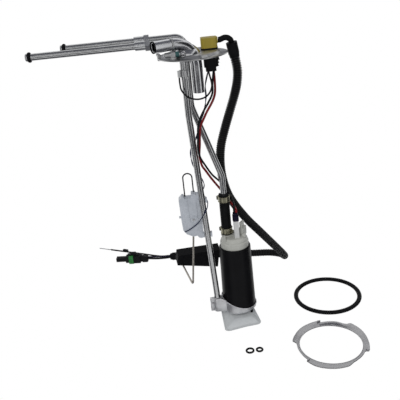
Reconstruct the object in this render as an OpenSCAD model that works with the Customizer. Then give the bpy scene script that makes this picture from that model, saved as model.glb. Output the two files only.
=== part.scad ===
// In-tank fuel pump and sender hanger.
// The flange closes the tank opening. Its steel tubes carry the pump, the strainer and the float sender.
// The origin is the centre of the flange's underside, with +Z up and the pipe ends pointing to -X.

/* [Flange] */
// Diameter of the flange disc
flange_d = 99; // [92:1:104]
// Thickness of the flange sheet
flange_t = 1.5; // [1:0.1:2]
// Diameter of the raised centre of the flange
pan_d = 78; // [76:1:80]
// Height of the raised centre above the rim
pan_h = 3.2; // [2:0.2:4]
// Diameter of the brazed pipe dome
dome_d = 40; // [39:1:42]
// Height of the pipe dome above the pan
dome_h = 14; // [12:1:15]

/* [Fuel tubes] */
// Outer diameter of both fuel tubes
tube_d = 9.5; // [8:0.5:10]
// Wall of both fuel tubes
tube_wall = 0.9; // [0.7:0.1:1.2]
// Height of the front tube above the flange underside
return_z = 20.8; // [20:0.2:22]
// Height of the rear tube above the flange underside
feed_z = 25.1; // [24.4:0.1:26]
// Reach of the front tube's tip from the flange centre
return_reach = 228; // [215:1:240]
// Reach of the rear tube's tip from the flange centre
feed_reach = 182; // [170:1:195]
// Centreline radius of the tubes' upper bends
bend_r = 14; // [13:0.5:14.5]
// Slope of the feed tube down to the pump, in degrees
feed_slope = 17.5; // [16:0.5:19]
// Slope of the return tube down to the bracket, in degrees
return_slope = 2.9; // [2.6:0.1:3.2]

/* [Tube nuts] */
// Width across the flats of each tube nut
nut_af = 14; // [13:0.5:14.5]
// Length of the hexagon
nut_hex_l = 7; // [5:0.5:9]
// Length of the threaded nose
nut_nose_l = 14; // [10:1:15]
// Diameter of the threaded nose
nut_nose_d = 12.6; // [11.8:0.1:12.8]
// Radial running clearance of a nut on its tube
nut_clear = 0.1; // [0.08:0.01:0.12]

/* [Vent pipe] */
// Outer diameter of the vent pipe
vent_d = 16; // [15:0.5:16.5]
// Wall of the vent pipe
vent_wall = 1; // [0.8:0.1:1.4]
// Centreline radius of the vent elbow
vent_bend_r = 34; // [33:0.5:35]
// Length of the straight run from the elbow to the port
vent_run = 28; // [26:1:34]
// Depth of the vent pipe's open end under the flange
vent_drop = 50; // [44:1:56]

/* [Harness] */
// Width of the yellow harness plug
plug_w = 23; // [21:0.5:24]
// Height of the yellow harness plug
plug_h = 14; // [12:0.5:16]
// Diameter of the corrugated harness loom
loom_d = 13.5; // [12:0.5:14]
// Diameter of the cable between the plug and the loom
cable_d = 8; // [7:0.5:9]

/* [Pump] */
// Diameter of the pump's steel case
case_d = 43; // [40:0.5:44]
// Length of the pump's steel case
case_l = 84; // [80:1:88]
// Wall of the steel case
case_wall = 1.2; // [1:0.1:1.6]
// Outer diameter of the rubber sleeve at its top
sleeve_d = 50; // [49:0.5:52]
// Growth of the sleeve's radius towards its bottom
sleeve_flare = 1.8; // [1:0.1:2]
// Length of the rubber sleeve
sleeve_l = 110; // [106:1:114]
// Diameter of the outlet cap
cap_d = 45; // [44:0.5:45.4]
// Diameter of the armature
armature_d = 25; // [22:0.5:26]
// Diameter of the pump shaft
shaft_d = 4; // [3:0.5:5]
// Blades round the impeller
impeller_blades = 24; // [16:1:30]
// Outer diameter of the feed hose
hose_d = 16; // [15:0.5:17]

/* [Sender] */
// Width of the sender box
box_w = 33; // [31:1:36]
// Height of the sender box
box_h = 72; // [70:1:76]
// Depth of the sender box from front to back
box_depth = 15; // [14:0.5:16]
// Diameter of the float rod
rod_d = 3; // [2.4:0.1:3.2]
// Length of the float rod's hanging leg
rod_drop = 120; // [110:1:124]
// Length of the float block
float_l = 72; // [64:1:78]
// Height of the float block
float_h = 19; // [16:1:21]

/* [Strainer] */
// Length of the strainer sock from side to side
sock_l = 54; // [50:1:60]
// Width of the strainer sock from front to back
sock_w = 62; // [56:1:66]

/* [Tank seals] */
// Inner diameter of the lock ring
lock_id = 97; // [92:1:100]
// Outer diameter over the lock ring's cams
lock_od = 121; // [116:1:124]
// Inner diameter of the large seal ring
seal_id = 106; // [100:1:112]
// Section diameter of the large seal ring
seal_section = 6; // [5:0.5:7]

/* [Hidden] */
$fn = 48;

zinc = [0.72, 0.73, 0.74];
chrome = [0.80, 0.81, 0.84];
rubber = [0.06, 0.06, 0.07];
fit_gap = 0.2;
// A bend is drawn this much fatter than its runs, and the runs reach this far into it
bend_swell = 0.05;
bend_lap = 0.4;
seat_gap = 0.3;

// Places of the pipes
return_x = -14.3;
return_y = -7;
feed_x = -9;
feed_y = 10;
feed_bend_z = -70;
feed_drop_r = 30;
hose_x = 26.5;
return_bend_z = -80;
return_bend_r = 120;
pan_top = flange_t + pan_h;
vent_x = 4;
vent_y = -12;
vent_turn = 28;
vent_top = 21.4;
dome_x = -9;
dome_y = -10;

// Places of the pump
pump_x = 36.8;
pump_y = 4;
sleeve_top = -303;
sleeve_bottom = sleeve_top - sleeve_l;
cup_wall = 1.2;
case_bottom = sleeve_bottom + 14;
case_top = case_bottom + case_l;
cap_skirt_h = 14;
cap_top = case_top + 29;
cup_floor = sleeve_bottom - seat_gap - cup_wall;
hose_bottom = cap_top + 1;
term_x = pump_x + 4.4;
term_y = pump_y - 8.6;
block_h = 29;
wire_end_z = cap_top + block_h + 13.3;

// Places of the sender
pivot_x = -23.6;
pivot_z = -251;
sender_y = 8;
rod_lean = 6.1;
arm_back = 62;
box_bottom = -284;
box_left = -43.5;

floor_z = -450;

// Points of the cords, chosen by hand
cable_route = [
  [37.5, 11, 15.7], [40.5, 11, 15.7], [46.5, 11.8, 17.6], [51.5, 13, 16.8], [54.8, 14.2, 14.4], [56, 14.7, 12.6],
  [56.5, 15, 10.1]
];
loom_route = [
  [60, 17, -11], [62, 18, -24], [62.5, 18.6, -34], [60.5, 20, -50], [55, 23, -70], [46, 25, -95],
  [37, 27.5, -121], [30, 29, -145], [27, 30.5, -170], [28, 31.5, -197], [34, 33, -225],
  [45, 38, -250], [63, 50, -282], [84, 71, -316], [105, 101, -353], [124, 138, -390],
  [138, 172, -420], [144, 196, -438], [138, 216, -443], [118, 226, -443.2], [90, 230, -443.2],
  [55, 235, -443.2], [18, 240, -443.2], [-20, 245, -443], [-56, 250, -442]
];
leads_route = [[-84, 251, -442.6], [-97, 251, -442.6], [-112, 252, -442.2], [-126, 253.6, -441.5], [-138, 255, -441]];
ground_route = [
  [-83.6, 256.6, -442.7], [-90, 257.6, -443], [-101, 262, -445], [-117, 272, -447], [-140, 285, -447.6],
  [-166, 298, -447.6], [-190, 310, -447.6], [-214, 322, -447.6]
];
power_route = [
  [28.5, 14.5, -14], [28.5, 14.5, -21], [28.3, 12, -28], [28, 5.5, -41], [27, 1, -54], [24.6, -1.5, -62],
  [20, -4, -70], [13, -5.5, -80], [7, -7, -90], [1.5, -8.8, -100], [-1, -10.5, -112], [-1, -11.5, -126],
  [-1, -11.5, -142], [3, -10, -156], [9, -6, -168], [15, -1, -180], [21, -1.5, -195], [28, -7, -212],
  [36, -11, -225], [41, -9.5, wire_end_z + 11.7], [term_x + 1.6, term_y - 1.6, wire_end_z + 5.7],
  [term_x + 1.6, term_y - 1.6, wire_end_z]
];
black_route = [
  [28.5, 7.5, -14], [28.5, 7.5, -21], [27.2, 5.8, -28], [24.3, 1.5, -42], [22.6, -3, -56], [16, -6.8, -67],
  [8, -9.5, -78], [2, -11.5, -88], [-2.5, -14, -100], [-4, -15, -114], [-4, -15, -142], [-1, -14, -156],
  [5, -10, -170], [11, -5, -183], [17, 0, -198], [24, -4, -214], [33, -8, -226], [38, -6.5, wire_end_z + 10.7],
  [term_x - 1.6, term_y + 0.6, wire_end_z + 5.7], [term_x - 1.6, term_y + 0.6, wire_end_z]
];
ground_wire_route = [
  [20.5, 7.5, -14], [20.5, 7.5, -21], [20.8, 5.5, -28], [22.5, -4, -37], [22.5, -11.5, -44], [18.5, -16, -51.5],
  [11, -18, -57], [0, -18.5, -58.5], [-12, -17.5, -54.5], [-20, -15.5, -45], [-21.6, -12, -36], [-21.6, -9.8, -27.5]
];
sender_route = [
  [20.5, 14.5, -14], [20.5, 14.5, -21], [19.5, 12.6, -28], [14, 2, -44], [13, -5, -60], [9, -5, -78], [2, -5, -95], [-3, -2, -108],
  [-8, 4, -124], [-16, 8, -138], [-17.5, 8, -152], [-15, 9, -166], [-9, 12, -182], [-8, 12, -196],
  [-12, 11, -204], [-12, 11, -210.7]
];

// Rules for the swept cords
function unit(v) = v / norm(v);
function heading(path, i) = unit(path[min(i + 1, len(path) - 1)] - path[max(i - 1, 0)]);
function side_axis(t) = unit(cross(t, abs(t[1]) < 0.8 ? [0, 1, 0] : [1, 0, 0]));
function smooth_point(p0, p1, p2, p3, s) =
  0.5 * (2 * p1 + (p2 - p0) * s + (2 * p0 - 5 * p1 + 4 * p2 - p3) * s * s
  + (3 * p1 - p0 - 3 * p2 + p3) * s * s * s);
function smooth(path, steps) = [
  for (i = [0 : len(path) - 2])
    for (k = [0 : steps - 1])
      smooth_point(
        path[max(i - 1, 0)], path[i], path[i + 1], path[min(i + 2, len(path) - 1)], k / steps
      ),
  path[len(path) - 1]
];
function carried(path, i) =
  i == 0 ? side_axis(heading(path, 0))
  : let (t = heading(path, i), last = carried(path, i - 1)) unit(last - t * (last * t));

// One closed tube along a list of points
module swept_cord(path, diameter, sides) {
  rings = len(path);
  corners = [
    for (i = [0 : rings - 1])
      let (t = heading(path, i), u = carried(path, i), v = cross(t, u))
        for (k = [0 : sides - 1])
          path[i] + diameter / 2 * (cos(360 * k / sides) * u + sin(360 * k / sides) * v)
  ];
  walls = [
    for (i = [0 : rings - 2])
      for (k = [0 : sides - 1])
        [(i + 1) * sides + k, (i + 1) * sides + (k + 1) % sides, i * sides + (k + 1) % sides, i * sides + k]
  ];
  first_cap = [for (k = [0 : sides - 1]) k];
  last_cap = [for (k = [0 : sides - 1]) rings * sides - 1 - k];
  polyhedron(points = corners, faces = concat([first_cap, last_cap], walls));
}

// Flat ring standing on z = 0
module ring(outer_d, inner_d, height) {
  linear_extrude(height) difference() {
    circle(d = outer_d);
    circle(d = inner_d);
  }
}

module ring_section(outer_d, wall, solid) {
  difference() {
    circle(d = outer_d);
    if (!solid) circle(d = outer_d - 2 * wall);
  }
}

// Pipe made of runs and bends; each step is [straight length, bend angle, bend radius, roll before the bend].
// It starts at the origin along +Z and bends towards +X for a positive angle.
function bend_end(step) =
  [sign(step[1]) * step[2] * (1 - cos(step[1])), 0, step[2] * sin(abs(step[1]))];

module bent_pipe(outer_d, wall, steps, solid = false, i = 0) {
  if (i < len(steps)) {
    step = steps[i];
    start = i > 0 ? -bend_lap : 0;
    finish = step[0] + (step[1] != 0 ? bend_lap : 0);
    translate([0, 0, start]) linear_extrude(finish - start) ring_section(outer_d, wall, solid);
    translate([0, 0, step[0]]) rotate([0, 0, step[3]]) {
      if (step[1] != 0) mirror([step[1] < 0 ? 1 : 0, 0, 0]) translate([step[2], 0, 0]) rotate([90, 0, 0])
        rotate([0, 0, 180 - abs(step[1])]) rotate_extrude(angle = abs(step[1]))
          translate([step[2], 0]) ring_section(outer_d + 2 * bend_swell, wall + 2 * bend_swell, solid);
      translate(bend_end(step)) rotate([0, step[1], 0]) bent_pipe(outer_d, wall, steps, solid, i + 1);
    }
  }
}

// Places its children where such a pipe ends
module at_pipe_end(steps, i = 0) {
  if (i < len(steps))
    translate([0, 0, steps[i][0]]) rotate([0, 0, steps[i][3]]) translate(bend_end(steps[i]))
      rotate([0, steps[i][1], 0]) at_pipe_end(steps, i + 1) children();
  else children();
}

// Rectangle with round corners, centred
module rounded_rect(w, h, r) {
  square([w - 2 * r, h], center = true);
  square([w, h - 2 * r], center = true);
  for (sx = [-1, 1], sy = [-1, 1]) translate([sx * (w / 2 - r), sy * (h / 2 - r)]) circle(r);
}

// Routes of the steel pipes, from their tips
slope_shift = hose_x - feed_x;
feed_slope_l = (slope_shift - 2 * feed_drop_r * (1 - cos(feed_slope))) / sin(feed_slope);
hose_top = feed_bend_z - 2 * feed_drop_r * sin(feed_slope) - feed_slope_l * cos(feed_slope) - 25;
feed_steps = [
  [feed_reach + feed_x - bend_r, 90, bend_r, 0],
  [feed_z - bend_r - feed_bend_z, -feed_slope, feed_drop_r, 0],
  [feed_slope_l, feed_slope, feed_drop_r, 0],
  [50, 0, 0, 0]
];
return_slope_l = (return_bend_z - 2 * return_bend_r * sin(return_slope) - 24 - (cup_floor + 6.7))
  / cos(return_slope);
return_steps = [
  [return_reach + return_x - bend_r, 90, bend_r, 0],
  [return_z - bend_r - return_bend_z, -return_slope, return_bend_r, 0],
  [return_slope_l, return_slope, return_bend_r, 0],
  [24, 0, 0, 0]
];
clamp_x = return_x + return_slope_l * sin(return_slope) + 2 * return_bend_r * (1 - cos(return_slope));
tube_end_z = return_bend_z - return_slope_l * cos(return_slope) - 2 * return_bend_r * sin(return_slope) - 24;
vent_steps = [
  [vent_run, 90, vent_bend_r, 0],
  [vent_top - vent_bend_r + vent_drop, 0, 0, 0]
];

module from_feed_tip() translate([-feed_reach, feed_y, feed_z]) rotate([0, 90, 0]) children();
module from_return_tip() translate([-return_reach, return_y, return_z]) rotate([0, 90, 0]) children();
module from_vent_port()
  translate([vent_x, vent_y, vent_top]) rotate([0, 0, vent_turn]) translate([-vent_bend_r - vent_run, 0, 0])
    rotate([0, 90, 0]) children();

// Holes that the pipes need, seen from above
module pipe_holes(gap) {
  translate([return_x, return_y]) circle(d = tube_d + 2 * gap);
  translate([feed_x, feed_y]) circle(d = tube_d + 2 * gap);
}

// Solid forms of the pipes with a gap round them, to cut their openings
module pipe_cutters(gap) {
  from_feed_tip() bent_pipe(tube_d + 2 * gap, 0, feed_steps, true);
  from_return_tip() bent_pipe(tube_d + 2 * gap, 0, return_steps, true);
  from_vent_port() bent_pipe(vent_d + 2 * gap, 0, vent_steps, true);
}

// Pressed flange with its raised pan, its pipe holes and the terminal window
rim_inner = pan_d / 2;
terminal_x = 24.5;
terminal_y = 11;
terminal_w = 19;
module flange_plate() {
  color(zinc) difference() {
    rotate_extrude($fn = 96) polygon([
      [0, pan_h], [rim_inner - 2, pan_h], [rim_inner, 0], [flange_d / 2 - 0.4, 0], [flange_d / 2, 0.4],
      [flange_d / 2, flange_t], [rim_inner + 1, flange_t], [rim_inner - 1, pan_top], [0, pan_top]
    ]);
    translate([0, 0, -1]) linear_extrude(pan_top + 2) {
      pipe_holes(fit_gap);
      translate([terminal_x, terminal_y]) rounded_rect(terminal_w + 0.4, 16.4, 3);
      translate([vent_x - 4, vent_y - 2]) rotate([0, 0, vent_turn]) rounded_rect(27, vent_d + 1, 8);
    }
  }
}

// Brazed dome that the pipes come up through
module pipe_dome() {
  cap_r = (dome_d * dome_d / 4 + dome_h * dome_h) / (2 * dome_h);
  rise = asin((cap_r - dome_h) / cap_r);
  color(chrome) difference() {
    translate([dome_x, dome_y, pan_top]) rotate_extrude($fn = 72) difference() {
      intersection() {
        translate([0, dome_h - cap_r]) circle(cap_r, $fn = 96);
        square([dome_d, dome_h + 1]);
      }
      translate([0, dome_h - cap_r]) circle(cap_r - 1.2, $fn = 96);
    }
    pipe_cutters(fit_gap);
  }
}

// Folded tabs that set the flange in the lock ring's seat
lug_angles = [167, 287, 47];
module locating_lugs() {
  color(zinc) for (a = lug_angles) rotate([0, 0, a]) translate([flange_d / 2 - 5, 0, flange_t])
    rotate([90, 0, 0]) linear_extrude(8, center = true) polygon([
      [0, 0], [5.4, 0], [6.6, 1.2], [6.6, 4.6], [4, 4.6], [4, 3.4], [5.4, 3.4], [5.4, 1.3], [0, 1.3]
    ]);
}

// Wide vent pipe with its elbow; the open end hangs under the flange
module vent_pipe() {
  color(chrome) difference() {
    from_vent_port() bent_pipe(vent_d, vent_wall, vent_steps);
    translate([vent_x, vent_y, -33]) rotate([0, 90, -50]) cylinder(d = 3, h = vent_d);
  }
}

module vent_port_lip() {
  color(rubber) from_vent_port() translate([0, 0, -1.6]) ring(vent_d, vent_d - 2 * vent_wall + 0.1, 1.6);
}

module vent_pipe_band() {
  color(zinc) from_vent_port() translate([0, 0, vent_run - 4]) ring(vent_d + 2.2, vent_d + 0.2, 3);
}

module fuel_tube(steps) {
  bent_pipe(tube_d, tube_wall, steps);
}

module feed_tube() {
  color(zinc) from_feed_tip() fuel_tube(feed_steps);
}

module return_tube() {
  color(zinc) from_return_tip() fuel_tube(return_steps);
}

// Captive nut: a hexagon and a threaded nose that slide along the tube
nut_from_bend = 28;
module tube_nut() {
  difference() {
    union() {
      rotate([0, 0, 30]) cylinder(d = nut_af / cos(30), h = nut_hex_l, $fn = 6);
      translate([0, 0, -nut_nose_l]) cylinder(d = nut_nose_d, h = nut_nose_l + 0.01);
    }
    translate([0, 0, -nut_nose_l - 1]) cylinder(d = tube_d + 2 * nut_clear, h = nut_nose_l + nut_hex_l + 2);
    translate([0, 0, -nut_nose_l - 0.01]) cylinder(d1 = nut_nose_d - 1, d2 = tube_d, h = 1.6);
  }
}

module feed_tube_nut() {
  color(chrome) translate([feed_x - bend_r - nut_from_bend - 14, feed_y, feed_z]) rotate([0, 90, 0]) tube_nut();
}

module return_tube_nut() {
  color(chrome) translate([return_x - bend_r - nut_from_bend - 7, return_y, return_z]) rotate([0, 90, 0])
    tube_nut();
}

// Rubber ring near the tip of each fuel tube, held by two beads
module tip_seal() {
  rotate_extrude() translate([tube_d / 2 + 1.3, 0]) circle(1.3);
}

module feed_tip_seal() {
  color(rubber) from_feed_tip() translate([0, 0, 6]) tip_seal();
}

module return_tip_seal() {
  color(rubber) from_return_tip() translate([0, 0, 6]) tip_seal();
}

// Small vapour outlet on the pan in front of the dome
nipple_x = -13;
nipple_y = -35;
nipple_r = 4;
nipple_z = pan_top + nipple_r;
module vapour_nipple() {
  color(chrome) {
    translate([nipple_x, nipple_y, nipple_z]) difference() {
      union() {
        sphere(nipple_r);
        translate([0, 0, -nipple_r]) cylinder(d = 6, h = nipple_r);
        rotate([0, -90, 0]) cylinder(d = 5, h = 20);
      }
      translate([0, 0, -6]) cylinder(d = 3, h = 6);
    }
  }
}

module nipple_seal() {
  color([0.13, 0.25, 0.26]) translate([nipple_x - 5, nipple_y, nipple_z]) rotate([0, -90, 0]) ring(7.4, 5.1, 5);
}

module nipple_cap() {
  color([0.62, 0.62, 0.60]) translate([nipple_x - 10.2, nipple_y, nipple_z]) rotate([0, -90, 0]) difference() {
    union() {
      linear_extrude(5.6) rounded_rect(7.6, 7.6, 1);
      cylinder(d = 6.8, h = 12.5);
      translate([0, 0, 12.5]) sphere(d = 6.8);
    }
    translate([0, 0, -1]) cylinder(d = 5.1, h = 11);
  }
}

// Yellow plug of the vehicle harness, pushed onto the terminal above the flange
plug_base = pan_top + 2;
plug_depth = 19;
module harness_plug() {
  color([0.66, 0.58, 0.18]) translate([terminal_x, terminal_y, plug_base]) {
    difference() {
      union() {
        linear_extrude(plug_h) rounded_rect(plug_w, plug_depth, 5);
        translate([plug_w / 2 - 4, 0, plug_h - 5]) rotate([0, 90, 0]) cylinder(d = cable_d + 1.6, h = 5);
      }
      translate([0, 0, -1]) linear_extrude(8) rounded_rect(16.4, 12.4, 3);
    }
    for (x = [-6, 0, 6]) translate([x, -plug_depth / 2 - 0.4, 1]) cube([1.2, 0.8, plug_h - 3], center = false);
  }
}

module plug_seal() {
  color(rubber) translate([terminal_x, terminal_y, pan_top]) difference() {
    linear_extrude(plug_base - pan_top) rounded_rect(plug_w + 1, plug_depth + 1, 5.4);
    translate([0, 0, -1]) linear_extrude(4) rounded_rect(16.4, 12.4, 3);
  }
}

// Black terminal body that passes through the flange and takes the pump's wires below
module bulkhead_terminal() {
  color(rubber) translate([terminal_x, terminal_y, 0]) {
    translate([0, 0, -6]) linear_extrude(plug_base + 5 + 6) rounded_rect(16, 12, 2.8);
    difference() {
      translate([0, 0, -20]) linear_extrude(20) rounded_rect(terminal_w, 16, 3);
      for (x = [-4, 4], y = [-3.5, 3.5]) translate([x, y, -21]) cylinder(d = 2.9, h = 8);
    }
    translate([0, 0, -26]) difference() {
      linear_extrude(6) rounded_rect(15, 16, 3);
      translate([0, 0, -1]) linear_extrude(7.1) rounded_rect(12, 13, 2);
    }
  }
}

// Row of latch teeth down the terminal's outer side
module terminal_comb() {
  color(rubber) translate([terminal_x + terminal_w / 2 + 0.1, terminal_y, 0]) rotate([90, 0, 0])
    linear_extrude(9, center = true) polygon([
      [0, -3], [2, -4], [3.6, -11], [1.4, -11.6], [2.6, -15.6], [0.8, -16.2], [2, -19.6], [0, -20]
    ]);
}

cable_path = smooth(cable_route, 2);
loom_path = smooth(loom_route, 2);
module plug_cable() {
  color(rubber) swept_cord(cable_path, cable_d, 8);
}

// Stepped collar where the cable enters the loom
collar_from = cable_route[len(cable_route) - 1];
collar_to = loom_route[0];
module loom_collar() {
  span = collar_to - collar_from;
  lean = acos(-span[2] / norm(span));
  way = atan2(span[1], span[0]);
  length = norm(span) - 3 * seat_gap;
  color(rubber) translate(collar_from) rotate([0, 0, way]) rotate([0, 180 - lean, 0]) translate([0, 0, seat_gap]) {
    cylinder(d = loom_d + 2.5, h = length * 0.8);
    translate([0, 0, length * 0.8]) cylinder(d = loom_d + 1, h = length * 0.2);
  }
}

module harness_loom() {
  color(rubber) swept_cord(loom_path, loom_d, 10);
}

end_from = loom_route[len(loom_route) - 1];
end_turn = atan2(leads_route[0][1] - end_from[1], leads_route[0][0] - end_from[0]);
tape_l = norm(leads_route[0] - end_from);
module loom_end_tape() {
  color(rubber) translate(end_from) rotate([0, 0, end_turn]) rotate([0, 90, 0]) translate([0, 0, 1]) {
    cylinder(d = 15.6, h = tape_l * 0.8);
    translate([0, 0, tape_l * 0.8]) cylinder(d1 = 14.5, d2 = 12, h = tape_l * 0.2 - 1.3);
    translate([0, -5.6, tape_l * 0.8 - 2]) cylinder(d = 4.6, h = tape_l * 0.2 + 0.7);
  }
}

module harness_leads() {
  color([0.10, 0.09, 0.14]) swept_cord(leads_route, 6, 8);
}

// Sealed two-way connector on the far end of the harness
connector_at = leads_route[len(leads_route) - 1];
lead_end = connector_at - leads_route[len(leads_route) - 2];
connector_turn = atan2(lead_end[1], lead_end[0]);
module at_connector() translate(connector_at) rotate([0, 0, connector_turn]) rotate([0, 90, 0]) children();

module harness_connector() {
  color(rubber) at_connector() {
    translate([0, 0, seat_gap]) cylinder(d1 = 11, d2 = 16, h = 7 - seat_gap);
    translate([0, 0, 7]) linear_extrude(14) rounded_rect(16, 20, 4);
    translate([0, 0, 21]) linear_extrude(9.6) rounded_rect(12, 16, 3);
    translate([0, 0, 30.6]) linear_extrude(7) rounded_rect(14, 17, 4);
    translate([0, 0, 37.6]) difference() {
      linear_extrude(20) rounded_rect(9, 13, 3);
      translate([0, 0, 4]) linear_extrude(20) rounded_rect(5.4, 9.4, 2);
    }
  }
}

module connector_seal() {
  color([0.10, 0.36, 0.12]) at_connector() translate([0, 0, 21.2]) difference() {
    linear_extrude(9.2) rounded_rect(17.6, 21, 4.5);
    translate([0, 0, -1]) linear_extrude(12) rounded_rect(12.3, 16.3, 3);
  }
}

module connector_clip() {
  color(rubber) at_connector() translate([-8.3, 0, 10]) rotate([90, 0, 0]) linear_extrude(8, center = true)
    polygon([[0, 0], [0, 9], [-0.7, 10.8], [-0.7, 20], [0.3, 22], [-2.2, 24], [-3, 20], [-3, 8], [-1.6, 0]]);
}

ground_path = smooth(ground_route, 2);
module ground_lead() {
  color(rubber) swept_cord(ground_path, 3.2, 8);
}

// Bare end of the ground lead
tip_from = ground_route[len(ground_route) - 1];
module ground_lead_tip() {
  color(chrome) translate(tip_from) rotate([0, 0, atan2(12, -24)]) rotate([0, 90, 0]) cylinder(d = 1.8, h = 30);
}

module power_wires() {
  color([0.45, 0.07, 0.08]) swept_cord(smooth(power_route, 1), 2.7, 6);
  color(rubber) swept_cord(smooth(black_route, 1), 2.7, 6);
}

module ground_wire() {
  color(rubber) swept_cord(smooth(ground_wire_route, 1), 2.6, 6);
}

module sender_wire() {
  color([0.08, 0.10, 0.22]) swept_cord(smooth(sender_route, 1), 2, 6);
}

// Clip that ties the ground wire to the return tube
ground_clip_z = -27;
module ground_clip() {
  color(zinc) translate([return_x, return_y, ground_clip_z]) {
    difference() {
      union() {
        ring(tube_d + 3, tube_d + 0.3, 9);
        rotate([0, 0, 202]) translate([tube_d / 2 + 0.8, -1.5, 0]) cube([4, 3, 9]);
      }
    }
  }
}

// Outline of the sender box, seen from the front
box_right = box_left + box_w;
box_top = box_bottom + box_h;
module box_outline() {
  polygon([
    [box_left, box_top - 5], [box_left + 3.5, box_top - 2], [box_left + 5, box_top],
    [box_left + 8, box_top], [box_left + 9, box_top - 3], [box_left + 19, box_top - 3],
    [box_left + 20, box_top + 3.5], [box_left + 26, box_top + 3.5], [box_left + 27, box_top + 1],
    [box_right, box_top + 1], [box_right, box_bottom + 2], [box_right - 3, box_bottom],
    [pivot_x + 6, box_bottom + 1], [pivot_x + 3, box_bottom + 5], [pivot_x - 3, box_bottom + 4],
    [box_left + 7, box_bottom + 9], [box_left + 2, box_bottom + 16], [box_left + 1, box_bottom + 30]
  ]);
}

module box_slab(y_from, y_to) {
  translate([0, y_to, 0]) rotate([90, 0, 0]) linear_extrude(y_to - y_from) children();
}

slot_half = rod_d / 2 + 0.6;
pin_d = 4;
card_r = 11;
box_front = sender_y - box_depth / 2;
box_back = sender_y + box_depth / 2;
module at_pivot() translate([pivot_x, pivot_z]) children();

module tube_saddle(z) {
  x = return_x + return_bend_r * (1 - cos(return_slope))
    + (return_bend_z - return_bend_r * sin(return_slope) - z) * tan(return_slope);
  difference() {
    translate([x - 7.4, return_y - 1.2, z - 3]) cube([14.8, box_front + 0.5 - return_y + 1.2, 6]);
    translate([x, return_y, z]) rotate([0, -return_slope, 0]) cylinder(d = tube_d + 2 * seat_gap, h = 20, center = true);
  }
}

module sender_cover() {
  color([0.74, 0.78, 0.84]) difference() {
    union() {
      tube_saddle(box_top - 6);
      tube_saddle(box_bottom + 8);
      box_slab(box_front, sender_y - slot_half) box_outline();
      box_slab(box_front - 0.8, box_front) difference() {
        at_pivot() circle(7);
        at_pivot() circle(5.6);
      }
      for (x = [box_left + 12, box_right - 8]) box_slab(box_front - 0.8, box_front)
        translate([x, box_top - 34]) square([1.4, 28]);
    }
    box_slab(box_front - 2, sender_y) at_pivot() circle(d = pin_d + 0.1);
  }
}

module sender_housing() {
  color([0.70, 0.75, 0.82]) difference() {
    union() {
      box_slab(sender_y + slot_half, box_back) box_outline();
      box_slab(sender_y - slot_half + 0.05, sender_y + slot_half) intersection() {
        box_outline();
        union() {
          translate([box_left - 1, box_top - 14]) square([box_w + 2, 20]);
          translate([box_right - 4, box_bottom - 1]) square([6, box_h + 2]);
        }
      }
      translate([box_left - 2.6, sender_y + 5, pivot_z - 1]) cube([4, 2.4, 3]);
    }
    box_slab(sender_y, box_back + 1) at_pivot() circle(d = pin_d + 0.1);
    box_slab(sender_y + slot_half - 0.1, sender_y + slot_half + 3.6) at_pivot() circle(card_r);
  }
}

module resistor_card() {
  color([0.24, 0.20, 0.14]) box_slab(sender_y + slot_half + 2.4, sender_y + slot_half + 3.6) at_pivot()
    intersection() {
      difference() {
        circle(card_r - 0.4);
        circle(6);
      }
      translate([-6, 0]) square([30, 30]);
    }
}

module pivot_pin() {
  color(chrome) {
    box_slab(box_front - 0.7, box_back + 0.7) at_pivot() circle(d = pin_d);
  }
}

module in_lever() translate([pivot_x, sender_y, pivot_z]) rotate([0, rod_lean, 0]) children();

module wiper() {
  color([0.78, 0.62, 0.30]) in_lever() {
    translate([0, slot_half + 2.2, 0]) rotate([90, 0, 0]) linear_extrude(0.7) difference() {
      union() {
        circle(4);
        translate([-1.6, 0]) square([3.2, 8]);
        translate([0, 7.8]) circle(2.2);
      }
      circle(d = pin_d + 0.3);
    }
    translate([0, slot_half + 2.2, 0]) rotate([90, 0, 0]) ring(8, pin_d + 0.3, slot_half + 2.2 - rod_d / 2);
  }
}

// Wire loop over the sender box
bail_r = 7;
module sender_bail() {
  color(rubber) translate([box_left + 10, sender_y + 3.5, box_top - 2.95]) bent_pipe(2, 0, [
    [30, 180, bail_r, 0], [23.5, 0, 0, 0]
  ], true);
}

knee_r = 6;
hub_r = 5;
rod_steps = [
  [rod_drop - hub_r - knee_r, 98, knee_r, -107],
  [arm_back - 8, 98, knee_r, 90]
];
float_leg = [[float_l - 16, 0, 0, 0]];
module from_hub() in_lever() translate([0, 0, -hub_r + 0.5]) rotate([180, 0, 0]) children();

module float_arm() {
  color([0.52, 0.50, 0.46]) {
    from_hub() bent_pipe(rod_d, 0, concat(rod_steps, float_leg), true);
    in_lever() rotate([90, 0, 0]) linear_extrude(rod_d, center = true) difference() {
      circle(hub_r);
      circle(d = pin_d + 0.1);
    }
  }
}

module float_block() {
  float_w = 20;
  color(rubber) difference() {
    from_hub() at_pipe_end(rod_steps) translate([-float_w / 2, 0, 0]) rotate([0, 90, 0]) linear_extrude(float_w)
      polygon([
        [14, 1.5], [14, 1.5 - float_h], [13, 0.5 - float_h], [13 - float_l, -7 - float_h],
        [14 - float_l, -6 - float_h], [14 - float_l, 9], [15 - float_l, 10]
      ]);
    from_hub() bent_pipe(rod_d + 0.4, 0, concat(rod_steps, [[float_l, 0, 0, 0]]), true);
  }
}

// Feed hose between the steel tube and the pump's outlet
hose_l = hose_top - hose_bottom;
module feed_hose() {
  color(rubber) translate([hose_x, feed_y, hose_bottom]) ring(hose_d, tube_d + 0.1, hose_l);
}

clamp_w = 9;
module hose_clamp(from_bottom) {
  color([0.47, 0.44, 0.33]) translate([hose_x, feed_y, hose_bottom + from_bottom]) {
    ring(hose_d + 2.2, hose_d + 0.2, clamp_w);
    rotate([0, 0, 140]) translate([hose_d / 2 + 1, -3.5, 1.5]) cube([3, 7, clamp_w - 3]);
  }
}

module lower_hose_clamp() {
  hose_clamp(2.5);
}

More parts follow.
